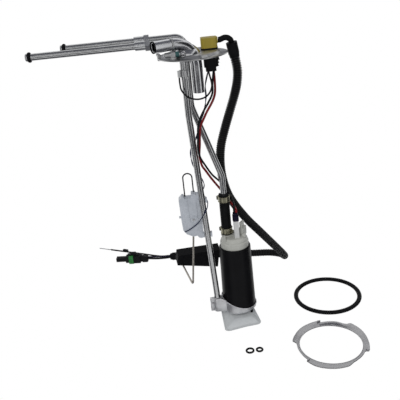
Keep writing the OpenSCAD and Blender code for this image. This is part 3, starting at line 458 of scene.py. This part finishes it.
black_plastic = finish(
    "black_moulding", (0.004, 0.004, 0.005), (0.010, 0.010, 0.011), (0.32, 0.46),
    patch=70, grain=800, strength=0.15, specular=0.10,
)  # fmt: skip
loom_plastic = finish(
    "loom_plastic", (0.012, 0.012, 0.0125), (0.021, 0.021, 0.0215), (0.30, 0.42),
    patch=60, grain=800, strength=0.05, specular=0.08,
)  # fmt: skip
# Painted shade: the loom's valleys get a near-black colour in place of the shadow between its ridges
paint_valley_shade(loom_plastic, (0.001, 0.001, 0.001))
yellow = finish(
    "yellow_moulding", (0.27, 0.205, 0.022), (0.34, 0.265, 0.032), (0.36, 0.48),
    patch=60, grain=800, strength=0.12,
)  # fmt: skip
teal = finish(
    "teal_seal", (0.015, 0.06, 0.06), (0.03, 0.09, 0.09), (0.35, 0.5),
    patch=90, grain=800, strength=0.12,
)  # fmt: skip
green = finish(
    "green_seal", (0.010, 0.11, 0.018), (0.02, 0.18, 0.035), (0.38, 0.5),
    patch=90, grain=800, strength=0.15,
)  # fmt: skip
pale_plastic = finish(
    "pale_acetal", (0.34, 0.365, 0.40), (0.50, 0.52, 0.56), (0.24, 0.40),
    patch=45, grain=500, strength=0.12,
)  # fmt: skip
cap_plastic = finish(
    "cap_moulding", (0.34, 0.34, 0.31), (0.44, 0.44, 0.405), (0.36, 0.5),
    patch=60, grain=700, strength=0.15,
)  # fmt: skip
white_plastic = finish(
    "white_moulding", (0.46, 0.46, 0.455), (0.56, 0.56, 0.55), (0.36, 0.5),
    patch=60, grain=700, strength=0.12,
)  # fmt: skip
boot = finish(
    "boot_rubber", (0.004, 0.003, 0.012), (0.008, 0.007, 0.022), (0.35, 0.5),
    patch=80, grain=800, strength=0.15, specular=0.12,
)  # fmt: skip
red = finish(
    "red_insulation", (0.13, 0.004, 0.006), (0.20, 0.008, 0.010), (0.32, 0.44),
    patch=90, grain=800, strength=0.08, specular=0.2,
)  # fmt: skip
blue = finish(
    "blue_insulation", (0.006, 0.010, 0.035), (0.012, 0.018, 0.06), (0.32, 0.44),
    patch=90, grain=800, strength=0.08, specular=0.15,
)  # fmt: skip
foam = finish(
    "float_foam", (0.003, 0.003, 0.0035), (0.008, 0.008, 0.009), (0.6, 0.8),
    patch=260, grain=1500, strength=0.5, specular=0.08,
)  # fmt: skip
card = finish(
    "resistor_card", (0.10, 0.07, 0.04), (0.16, 0.12, 0.07), (0.4, 0.55),
    patch=90, grain=800, strength=0.1,
)  # fmt: skip
dark_plastic = finish(
    "grey_moulding", (0.04, 0.04, 0.045), (0.065, 0.065, 0.07), (0.4, 0.55),
    patch=80, grain=800, strength=0.15,
)  # fmt: skip
ferrite = finish(
    "ferrite", (0.04, 0.04, 0.042), (0.07, 0.07, 0.072), (0.5, 0.65),
    patch=90, grain=900, strength=0.2,
)  # fmt: skip
carbon = finish(
    "brush_carbon", (0.02, 0.02, 0.02), (0.035, 0.035, 0.035), (0.5, 0.65),
    patch=200, grain=1200, strength=0.3,
)  # fmt: skip
copper = finish(
    "armature_copper", (0.42, 0.20, 0.10), (0.58, 0.30, 0.16), (0.3, 0.45),
    metallic=1.0, patch=120, grain=900, strength=0.3, stretch=(1, 1, 0.15),
)  # fmt: skip

finishes = {
    zinc: ["flange_plate", "locating_lugs", "vent_pipe_band", "nipple_cap", "ground_clip"],
    nut_plate: ["feed_tube_nut", "return_tube_nut"],
    chrome: ["pipe_dome", "vent_pipe", "vapour_nipple"],
    tube_steel: ["feed_tube", "return_tube"],
    rubber: [
        "vent_port_lip", "feed_tip_seal", "return_tip_seal", "plug_seal", "loom_collar", "loom_end_tape",
        "feed_hose", "tank_seal_ring", "tip_seal_spares",
    ],
    sleeve_rubber: ["isolator_sleeve"],
    teal: ["nipple_seal"],
    yellow: ["harness_plug"],
    black_plastic: [
        "bulkhead_terminal", "terminal_comb", "harness_connector", "connector_clip", "sender_bail",
        "strainer_neck",
    ],
    green: ["connector_seal"],
    bright_strands: ["ground_lead_tip", "pivot_pin"],
    pale_plastic: ["sender_housing", "sender_cover"],
    card: ["resistor_card"],
    bronze: ["wiper"],
    rod_steel: ["float_arm"],
    foam: ["float_block"],
    clamp_gold: ["upper_hose_clamp", "lower_hose_clamp"],
    white_plastic: ["terminal_block"],
    boot: ["terminal_boot"],
    cap_plastic: ["outlet_cap"],
    bracket_plate: ["pump_case", "pump_bracket"],
    ferrite: ["field_magnets"],
    carbon: ["brushes"],
    copper: ["armature"],
    dark_plastic: ["impeller", "pump_inlet"],
    ring_steel: ["lock_ring"],
}  # fmt: skip
for material, names in finishes.items():
    for name in names:
        node[name].data.materials.clear()
        node[name].data.materials.append(material)
for piece, material, slot in [
    (cable, rubber, "black_plastic"),
    (loom, loom_plastic, "black_plastic"),
    (leads[0][0], boot, "black_plastic"),
    (leads[1][0], black_plastic, "black_plastic"),
    (leads[2][0], boot, "black_plastic"),
    (ground, black_plastic, "black_plastic"),
    (red_wire, red, "red_wire"),
    (black_wire, black_plastic, "black_plastic"),
    (clip_wire, black_plastic, "black_plastic"),
    (sender_wires[0], blue, "blue_wire"),
    (sender_wires[1], blue, "blue_wire"),
    (crossing_wire, blue, "blue_wire"),
]:
    piece.data.materials.append(material)


# ---------------------------------------------------------------- strainer sock
def weave_material():
    """Pale woven nylon: threads both ways, read from the piece's own UV map."""
    material = bpy.data.materials.new("sock_weave")
    material.use_nodes = True
    tree = material.node_tree
    tree.nodes.clear()
    wire = tree.links.new
    shader = tree.nodes.new("ShaderNodeBsdfPrincipled")
    shader.inputs["Roughness"].default_value = 0.62
    end = tree.nodes.new("ShaderNodeOutputMaterial")
    wire(shader.outputs["BSDF"], end.inputs["Surface"])
    coords = tree.nodes.new("ShaderNodeTexCoord")
    weave = []
    for direction in ("X", "Y"):
        wave = tree.nodes.new("ShaderNodeTexWave")
        wave.bands_direction = direction
        wave.inputs["Scale"].default_value = 24
        wave.inputs["Distortion"].default_value = 0.3
        wire(coords.outputs["UV"], wave.inputs["Vector"])
        weave.append(wave)
    threads = tree.nodes.new("ShaderNodeMath")
    threads.operation = "MULTIPLY"
    wire(weave[0].outputs["Fac"], threads.inputs[0])
    wire(weave[1].outputs["Fac"], threads.inputs[1])
    tones = tree.nodes.new("ShaderNodeMix")
    tones.data_type = "RGBA"
    tones.inputs["A"].default_value = (0.44, 0.455, 0.46, 1)
    tones.inputs["B"].default_value = (0.64, 0.655, 0.66, 1)
    wire(threads.outputs[0], tones.inputs["Factor"])
    wire(tones.outputs["Result"], shader.inputs["Base Color"])
    bump = tree.nodes.new("ShaderNodeBump")
    bump.inputs["Strength"].default_value = 0.35
    bump.inputs["Distance"].default_value = 0.0002
    wire(threads.outputs[0], bump.inputs["Height"])
    wire(bump.outputs["Normal"], shader.inputs["Normal"])
    return material


sock_weave = weave_material()
SOCK_AT = Vector((36.8, -8, -422.5)) * MM
SOCK_TURN = math.radians(9)
# Breadth of the welded hem and of the slope up from it; half the hem's thickness
SOCK_HEM, SOCK_SLOPE, HEM_HALF = 3.6 * MM, 13 * MM, 0.7 * MM
SOCK_RIPPLE, SOCK_SINK = 0.35 * MM, 0.4 * MM
SOCK_PULL_OUT, SOCK_PULL_DOWN = 7 * MM, 2.5 * MM


def sock_pouch():
    """Two faces of woven cloth welded along a flat hem, slack between."""
    bm = bmesh.new()
    uv = bm.loops.layers.uv.new("UVMap")
    half_l, half_w, corner, thick = 27 * MM, 31 * MM, 8 * MM, 8 * MM
    bmesh.ops.create_grid(bm, x_segments=56, y_segments=64, size=1)
    for face in bm.faces:
        for loop in face.loops:
            loop[uv].uv = (loop.vert.co.x * 0.5 + 0.5, loop.vert.co.y * 0.5 + 0.5)
    # The outline, with its corners rounded
    for v in bm.verts:
        x, y = v.co.x * half_l, v.co.y * half_w
        over_x, over_y = abs(x) - (half_l - corner), abs(y) - (half_w - corner)
        if over_x > 0 and over_y > 0:
            reach = max(over_x, over_y)
            far = math.hypot(over_x, over_y)
            x = math.copysign(half_l - corner + over_x * reach / far, x)
            y = math.copysign(half_w - corner + over_y * reach / far, y)
        v.co = (x, y, 0)
    lower_faces = only(bmesh.types.BMFace, bmesh.ops.duplicate(bm, geom=bm.faces[:])["geom"])
    lower = {v for face in lower_faces for v in face.verts}
    bmesh.ops.reverse_faces(bm, faces=lower_faces)
    # Both faces puff out from the hem, with shallow ripples
    for v in bm.verts:
        x, y = v.co.x, v.co.y
        inside = min(half_l - abs(x), half_w - abs(y))
        if abs(x) > half_l - corner and abs(y) > half_w - corner:
            inside = min(inside, corner - math.hypot(abs(x) - half_l + corner, abs(y) - half_w + corner))
        share = min(max((inside - SOCK_HEM) / SOCK_SLOPE, 0), 1)
        puff = math.sin(share * math.pi / 2) ** 0.75 * (thick - 1.0 * MM)
        wave = math.sin(x * 300 + 1.3 * math.sin(y * 210))
        ripple = SOCK_RIPPLE * share * wave * math.sin(y * 260 + 0.6)
        height = HEM_HALF + puff + ripple * (1 if puff > 0.5 * MM else 0) - SOCK_SINK * share
        v.co.z = -height if v in lower else height
        # The corner that hangs out to the front left is drawn out and down
        pull = max(0, -x / half_l) * (0.5 - 0.5 * y / half_w)
        v.co.x -= SOCK_PULL_OUT * pull
        v.co.z -= SOCK_PULL_DOWN * pull
    bmesh.ops.bridge_loops(bm, edges=[e for e in bm.edges if e.is_boundary])
    place = Matrix.Translation(SOCK_AT - Vector((0, 0, thick))) @ Matrix.Rotation(SOCK_TURN, 4, "Z")
    bmesh.ops.transform(bm, matrix=place, verts=bm.verts)
    bmesh.ops.recalc_face_normals(bm, faces=bm.faces)
    piece = add_piece("woven_strainer_pouch", bm)
    piece.data.materials.append(sock_weave)
    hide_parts("strainer_sock")


sock_pouch()


# ---------------------------------------------------------------- pressed bracket
# The cup under the pump and the strap round the return tube, in millimetres
PUMP_X, PUMP_Y = 36.8, 4
CUP_FLOOR = -414.5
CUP_HOLE_R, CUP_R = 14, 27.75
CLAMP_X, CLAMP_Y = 0.78, -7
STRAP_R, STRAP_HEIGHT = 5.5, 24
# How fast the strap's front wing gets lower towards the cup
WING_SLOPE = 0.63


def sheet_metal(piece, thickness, round_off):
    """Makes a sheet of a surface, with rounded edges; both sizes in millimetres."""
    sheet = piece.modifiers.new("sheet", "SOLIDIFY")
    sheet.thickness, sheet.offset = thickness * MM, 0
    edge = piece.modifiers.new("edge", "BEVEL")
    edge.width, edge.segments = round_off * MM, 2


def next_ring(bm, edges, place):
    """Extrudes a ring of edges; place gives each heading's new radius and height, in millimetres."""
    made = bmesh.ops.extrude_edge_only(bm, edges=edges)["geom"]
    for v in only(bmesh.types.BMVert, made):
        heading = math.atan2(v.co.y, v.co.x)
        radius, height = place(heading)
        v.co = Vector((radius * math.cos(heading), radius * math.sin(heading), height)) * MM
    return only(bmesh.types.BMEdge, made)


def cup_ring(bm, edges, radius, height_at):
    """The next ring of the cup, with a height that depends on how far it faces the tube."""
    return next_ring(bm, edges, lambda heading: (radius, height_at(-math.cos(heading))))


def pressed_bracket():
    """One sheet: the cup, its rim high beside the tube, and the strap folded round the tube."""
    bm = bmesh.new()
    bmesh.ops.create_circle(bm, segments=120, radius=CUP_HOLE_R * MM)
    edges = bm.edges[:]

    # Heights of the cup's floor and rim: lower and higher the more they face the tube
    def sag(towards_tube):
        return -1.2 - 1.6 * towards_tube

    def rim(towards_tube):
        return 9.6 + 8.75 * towards_tube + 3.55 * towards_tube**2

    for radius, height_at in [
        (25.0, lambda t: sag(t) * 0.9),
        (26.6, lambda t: sag(t) + 0.4),
        (27.45, lambda t: sag(t) + 1.4),
        (CUP_R, lambda t: sag(t) + 2.8),
        (CUP_R, lambda t: rim(t) * 0.55),
        (CUP_R, lambda t: rim(t) - 1.2),
        (CUP_R + 0.25, lambda t: rim(t) - 0.4),
        (CUP_R + 0.7, rim),
    ]:
        edges = cup_ring(bm, edges, radius, height_at)
    bmesh.ops.translate(bm, vec=Vector((PUMP_X, PUMP_Y, CUP_FLOOR)) * MM, verts=bm.verts)

    def arc(start, end, steps):
        turns = [math.radians(start + (end - start) * k / steps) for k in range(steps + 1)]
        return [(CLAMP_X + STRAP_R * math.cos(t), CLAMP_Y + STRAP_R * math.sin(t)) for t in turns]

    outline = [(14.6, -12.9), (12.0, -12.75), (9.5, -12.65), (7.0, -12.6), (4.0, -12.5)]
    outline += arc(270, 192, 10)
    outline += [(-9.6, -8.0), (-10.3, -7.6), (-10.3, -6.4), (-9.6, -6.0)]
    outline += arc(168, 90, 10)
    outline += [(4.0, -1.5), (7.0, -1.4), (10.2, -1.2)]
    foot = [bm.verts.new(Vector((x, y, CUP_FLOOR + 0.7)) * MM) for x, y in outline]
    run = [bm.edges.new(pair) for pair in zip(foot, foot[1:])]
    for v in only(bmesh.types.BMVert, bmesh.ops.extrude_edge_only(bm, edges=run)["geom"]):
        v.co.z += STRAP_HEIGHT * MM
        if v.co.y < -12 * MM:
            v.co.z -= max(0, v.co.x - 7 * MM) * WING_SLOPE
    bmesh.ops.recalc_face_normals(bm, faces=bm.faces)
    piece = add_piece("pressed_pump_bracket", bm)
    sheet_metal(piece, 1.3, 0.3)
    piece.data.materials.append(bracket_plate)
    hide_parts("pump_bracket")


pressed_bracket()


# ---------------------------------------------------------------- small details
def ring_bead(name, centre, radius, section, material, axis=(0, 0, 1), sides=10, along=1.0):
    """A bead round a pipe or band; along stretches its section in the direction of the axis."""
    bm = bmesh.new()
    bmesh.ops.create_circle(bm, segments=sides, radius=section * MM)
    bmesh.ops.rotate(bm, matrix=Matrix.Rotation(math.pi / 2, 3, "X"), verts=bm.verts)
    bmesh.ops.scale(bm, vec=(1, 1, along), verts=bm.verts)
    bmesh.ops.translate(bm, vec=(radius * MM, 0, 0), verts=bm.verts)
    bmesh.ops.spin(
        bm, geom=bm.verts[:] + bm.edges[:], cent=(0, 0, 0), axis=(0, 0, 1), angle=2 * math.pi,
        steps=64, use_merge=True,
    )  # fmt: skip
    turn = Vector(axis).to_track_quat("Z", "Y").to_matrix().to_4x4()
    bmesh.ops.transform(bm, matrix=Matrix.Translation(Vector(centre) * MM) @ turn, verts=bm.verts)
    bmesh.ops.recalc_face_normals(bm, faces=bm.faces)
    piece = add_piece(name, bm)
    piece.data.materials.append(material)
    return piece


def rounded_block(name, centre, size, turn_z, material, round_off=0.6):
    """A small moulded or pressed block with rounded edges."""
    bm = bmesh.new()
    bmesh.ops.create_cube(bm, size=1)
    bmesh.ops.scale(bm, vec=Vector(size) * MM, verts=bm.verts)
    bmesh.ops.bevel(
        bm, geom=bm.edges[:], offset=round_off * MM, offset_type="OFFSET", segments=3, profile=0.5,
        affect="EDGES", material=-1,
    )  # fmt: skip
    place = Matrix.Translation(Vector(centre) * MM) @ Matrix.Rotation(math.radians(turn_z), 4, "Z")
    bmesh.ops.transform(bm, matrix=place, verts=bm.verts)
    bmesh.ops.recalc_face_normals(bm, faces=bm.faces)
    piece = add_piece(name, bm, smooth_faces=False)
    piece.data.materials.append(material)
    return piece


# Rolled edges of the two hose clamps, and the lower one's crimped ear
HOSE_X, HOSE_Y, CLAMP_R = 26.5, 10, 9.2
for name in ("upper_hose_clamp", "lower_hose_clamp"):
    low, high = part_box(name)
    for edge, z in (("low", low[2] / MM + 0.5), ("high", high[2] / MM - 0.5)):
        edge_at = (HOSE_X, HOSE_Y, z)
        ring_bead(f"{name}_{edge}_edge", edge_at, CLAMP_R, 0.55, clamp_gold)
low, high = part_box("lower_hose_clamp")
clamp_z = (low[2] + high[2]) / 2 / MM
rounded_block("lower_clamp_ear", (33.6, 2.6, clamp_z), (7, 3.0, 5.4), -46, clamp_gold)

# A rib and a pad of the outlet cap
rounded_block("cap_front_rib", (21.5, -9.4, -284.5), (2.4, 3.0, 11), 28, cap_plastic)
rounded_block("cap_side_pad", (52.5, -3.5, -284.5), (5, 6, 5), -25, cap_plastic)

# Bulbous rubber rings near the tips of the fuel tubes, each behind a bright bead at the tube's mouth
for tube in ("feed", "return"):
    low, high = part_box(f"{tube}_tip_seal")
    seal_at = (low + high) / 2 / MM - Vector((0.8, 0, 0))
    bead = ring_bead(f"{tube}_tip_ring", seal_at, 5.2, 1.9, rubber, (1, 0, 0), 16, 1.3)
    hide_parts(f"{tube}_tip_seal")
    mouth_at = seal_at - Vector((3, 0, 0))
    ring_bead(f"{tube}_tip_bead", mouth_at, 4.4, 1.1, tube_steel, (1, 0, 0), 12, 1.9)

# Bright rolled edge just inside the mouth of the vent pipe
VENT_TURN = math.radians(28)
low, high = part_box("vent_port_lip")
out_of_mouth = Vector((-math.cos(VENT_TURN), -math.sin(VENT_TURN), 0))
mouth_at = (low + high) / 2 / MM - out_of_mouth * 1.2
ring_bead("vent_mouth_edge", mouth_at, 6.2, 0.8, chrome, out_of_mouth, 12)

# The tank seal is a broad ring, a little flattened where it lies
low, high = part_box("tank_seal_ring")
seal_x, seal_y = (low[0] + high[0]) / 2 / MM, (low[1] + high[1]) / 2 / MM
seal_at = (seal_x, seal_y - 2, low[2] / MM + 3.3)
tank_seal = ring_bead(
    "broad_tank_seal", seal_at, 54.6, 3.9, rubber, sides=16, along=0.84
)  # fmt: skip
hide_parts("tank_seal_ring")

# Blunt folded hook at the left of the flange
rounded_block("flange_left_hook", (-46.6, -8, 2.8), (4.4, 7, 9.2), 12, zinc, 0.9)

# The two spare rings for the tube tips
for number, (x, radius) in enumerate([(42.5, 5.5), (57.5, 4.5)]):
    spare_at = (x, -78, -448.4)
    spare = ring_bead(
        f"spare_tip_ring_{number}", spare_at, radius, 1.6, rubber, sides=12
    )  # fmt: skip
    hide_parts("tip_seal_spares")

# Rear boot and latch of the harness connector, and the clip on the loose lead
for name, centre, size, turn_z, round_off in [
    ("connector_rear_boot", (-136, 254.8, -442.4), (13, 12, 13), -6, 2.5),
    ("connector_latch", (-158.5, 255, -427.5), (10, 6, 5), -6, 1),
    ("loose_lead_clip", (-181, 305.5, -445.2), (12, 5, 6), -27, 1),
]:
    rounded_block(name, centre, size, turn_z, black_plastic, round_off)

# Rivet head on the strap's folded ears
rounded_block("strap_rivet", (-6.6, -9.1, -399.5), (3.4, 1.2, 3.4), 0, ring_steel, 0.5)


# ---------------------------------------------------------------- pressed lock ring
LOCK_AT = Vector((168.6, -82, -450))
LOCK_INNER_R = 48.7
LIP_HEIGHT, BAND_HEIGHT, BEND_RUN = 1.8, 0.9, 0.2
# Distance of the outer edge from the centre, by angle round the ring
LOCK_REACH = [
    (0, 58.2), (14, 59.6), (25, 60.5), (45, 60.5), (47, 59), (50, 56.5), (56, 55.6), (66, 56),
    (96, 56), (98, 60.4), (163, 59.8), (165.5, 56), (168, 53.4), (174, 52.4), (200, 52.1),
    (216, 53), (217.5, 57.2), (222, 57.4), (233, 59.2), (242, 59.4), (268, 58.6), (284, 57.6),
    (289, 55.5), (295, 53.4), (306, 52.8), (329, 52.8), (331, 53.6), (332.5, 58), (337, 58.6),
    (347, 58.1), (360, 58.2),
]  # fmt: skip
# How far the outer edge rises above the band, by angle round the ring
LOCK_RISE = [
    (0, 0), (5, 0), (14, 0.4), (27, 1.8), (37, 3), (45, 3.8), (50, 2.8), (55, 2.4), (68, 3.7),
    (78, 3.4), (94, 2.3), (104, 2.7), (114, 2.1), (125, 2.2), (135, 1.5), (147, 0), (360, 0),
]  # fmt: skip
# The turned-up stops: angle round the ring, distance from the centre, and size outwards, along and up
LOCK_STOPS = [
    (96.5, 57.5, (1.8, 5.5, 6)),
    (-26.5, 55.6, (5, 1.8, 3)),
    (219, 54.5, (5, 1.8, 2.6)),
]


def between(table, at):
    """The value of a table of (position, value) rows at a position, along straight lines."""
    for (a, first), (b, last) in zip(table, table[1:]):
        if at <= b:
            return first + (last - first) * (at - a) / (b - a)
    return table[-1][1]


def pressed_lock_ring():
    """One sheet: a low lip inside, a band with three cams, two of them ramped, and turned-up stops."""
    bm = bmesh.new()
    bmesh.ops.create_circle(bm, segments=300, radius=LOCK_INNER_R * MM)
    bmesh.ops.translate(bm, vec=(0, 0, LIP_HEIGHT * MM), verts=bm.verts)
    edges = bm.edges[:]
    # From the bend under the lip, over the band, to the outer edge
    for share in (0, 0.35, 1):

        def place(heading, share=share):
            turn = math.degrees(heading) % 360
            reach = between(LOCK_REACH, turn) - LOCK_INNER_R
            radius = LOCK_INNER_R + BEND_RUN + (reach - BEND_RUN) * share
            return radius, BAND_HEIGHT + between(LOCK_RISE, turn) * min(1, share * 1.6)

        edges = next_ring(bm, edges, place)
    bmesh.ops.translate(bm, vec=LOCK_AT * MM, verts=bm.verts)
    bmesh.ops.recalc_face_normals(bm, faces=bm.faces)
    piece = add_piece("pressed_lock_ring", bm)
    sheet_metal(piece, 1.6, 0.25)
    piece.data.materials.append(ring_steel)
    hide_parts("lock_ring")
    for number, (turn, reach, size) in enumerate(LOCK_STOPS):
        away = Vector((math.cos(math.radians(turn)), math.sin(math.radians(turn)), 0))
        centre = LOCK_AT + away * reach + Vector((0, 0, size[2] / 2 + 0.6))
        rounded_block(f"lock_ring_stop_{number}", centre, size, turn, ring_steel, 0.4)


pressed_lock_ring()


# ---------------------------------------------------------------- light
def light_scene():
    """A plain studio: white where the camera and the metal see it, softer light, one broad key."""
    world = bpy.data.worlds.new("studio")
    scene.world = world
    world.use_nodes = True
    tree = world.node_tree
    tree.nodes.clear()
    wire = tree.links.new
    end = tree.nodes.new("ShaderNodeOutputWorld")
    around = tree.nodes.new("ShaderNodeBackground")
    around.inputs["Color"].default_value = (0.95, 0.97, 1, 1)
    around.inputs["Strength"].default_value = 0.55
    seen = tree.nodes.new("ShaderNodeBackground")
    seen.inputs["Color"].default_value = (1, 1, 1, 1)
    seen.inputs["Strength"].default_value = 1.0
    path = tree.nodes.new("ShaderNodeLightPath")
    either = tree.nodes.new("ShaderNodeMath")
    either.operation = "MAXIMUM"
    both = tree.nodes.new("ShaderNodeMath")
    both.operation = "MAXIMUM"
    wire(path.outputs["Is Camera Ray"], either.inputs[0])
    wire(path.outputs["Is Glossy Ray"], either.inputs[1])
    wire(either.outputs[0], both.inputs[0])
    wire(path.outputs["Is Transmission Ray"], both.inputs[1])
    choose = tree.nodes.new("ShaderNodeMixShader")
    wire(both.outputs[0], choose.inputs["Fac"])
    wire(around.outputs[0], choose.inputs[1])
    wire(seen.outputs[0], choose.inputs[2])
    wire(choose.outputs[0], end.inputs["Surface"])
    sun = bpy.data.lights.new("soft_key", "SUN")
    sun.energy = 1.5
    sun.angle = math.radians(30)
    lamp = bpy.data.objects.new("soft_key", sun)
    lamp.rotation_euler = (math.radians(48), math.radians(-22), 0)
    lamp.visible_glossy = False
    scene.collection.objects.link(lamp)


def dark_card(name, centre, size, facing, shade):
    """A dark board outside the picture that only the plated metal mirrors."""
    bm = bmesh.new()
    bmesh.ops.create_grid(bm, x_segments=1, y_segments=1, size=0.5)
    bmesh.ops.scale(bm, vec=(size[0], size[1], 1), verts=bm.verts)
    turn = Vector(facing).to_track_quat("Z", "Y").to_matrix().to_4x4()
    bmesh.ops.transform(bm, matrix=Matrix.Translation(centre) @ turn, verts=bm.verts)
    mesh = bpy.data.meshes.new(name)
    bm.to_mesh(mesh)
    bm.free()
    card_piece = bpy.data.objects.new(name, mesh)
    scene.collection.objects.link(card_piece)
    material = bpy.data.materials.new(name)
    material.use_nodes = True
    shader = material.node_tree.nodes["Principled BSDF"]
    shader.inputs["Base Color"].default_value = (shade, shade, shade * 1.1, 1)
    shader.inputs["Roughness"].default_value = 1.0
    card_piece.data.materials.append(material)
    card_piece.visible_camera = False
    card_piece.visible_diffuse = False
    card_piece.visible_shadow = False


light_scene()
dark_card("card_overhead", (0, -0.5, 1.5), (3.2, 2.2), (0, 0, -1), 0.30)
dark_card("card_front_low", (0, -2.0, -0.75), (3.0, 0.9), (0, 1, 0.2), 0.10)
dark_card("card_front_high", (0, -2.0, 0.85), (3.0, 0.5), (0, 1, -0.2), 0.12)
dark_card("card_left", (-1.9, -0.6, -0.2), (1.5, 3.0), (1, 0.3, 0), 0.05)
dark_card("card_right", (1.9, -0.1, -0.2), (2.2, 3.0), (-1, 0.1, 0), 0.04)
dark_card("card_behind", (0, 2.2, 0.5), (3.4, 0.9), (0, -1, 0), 0.20)
dark_card("card_floor", (0, -0.2, -1.4), (3.2, 1.8), (0, 0, 1), 0.12)

scene.view_settings.view_transform = "Standard"
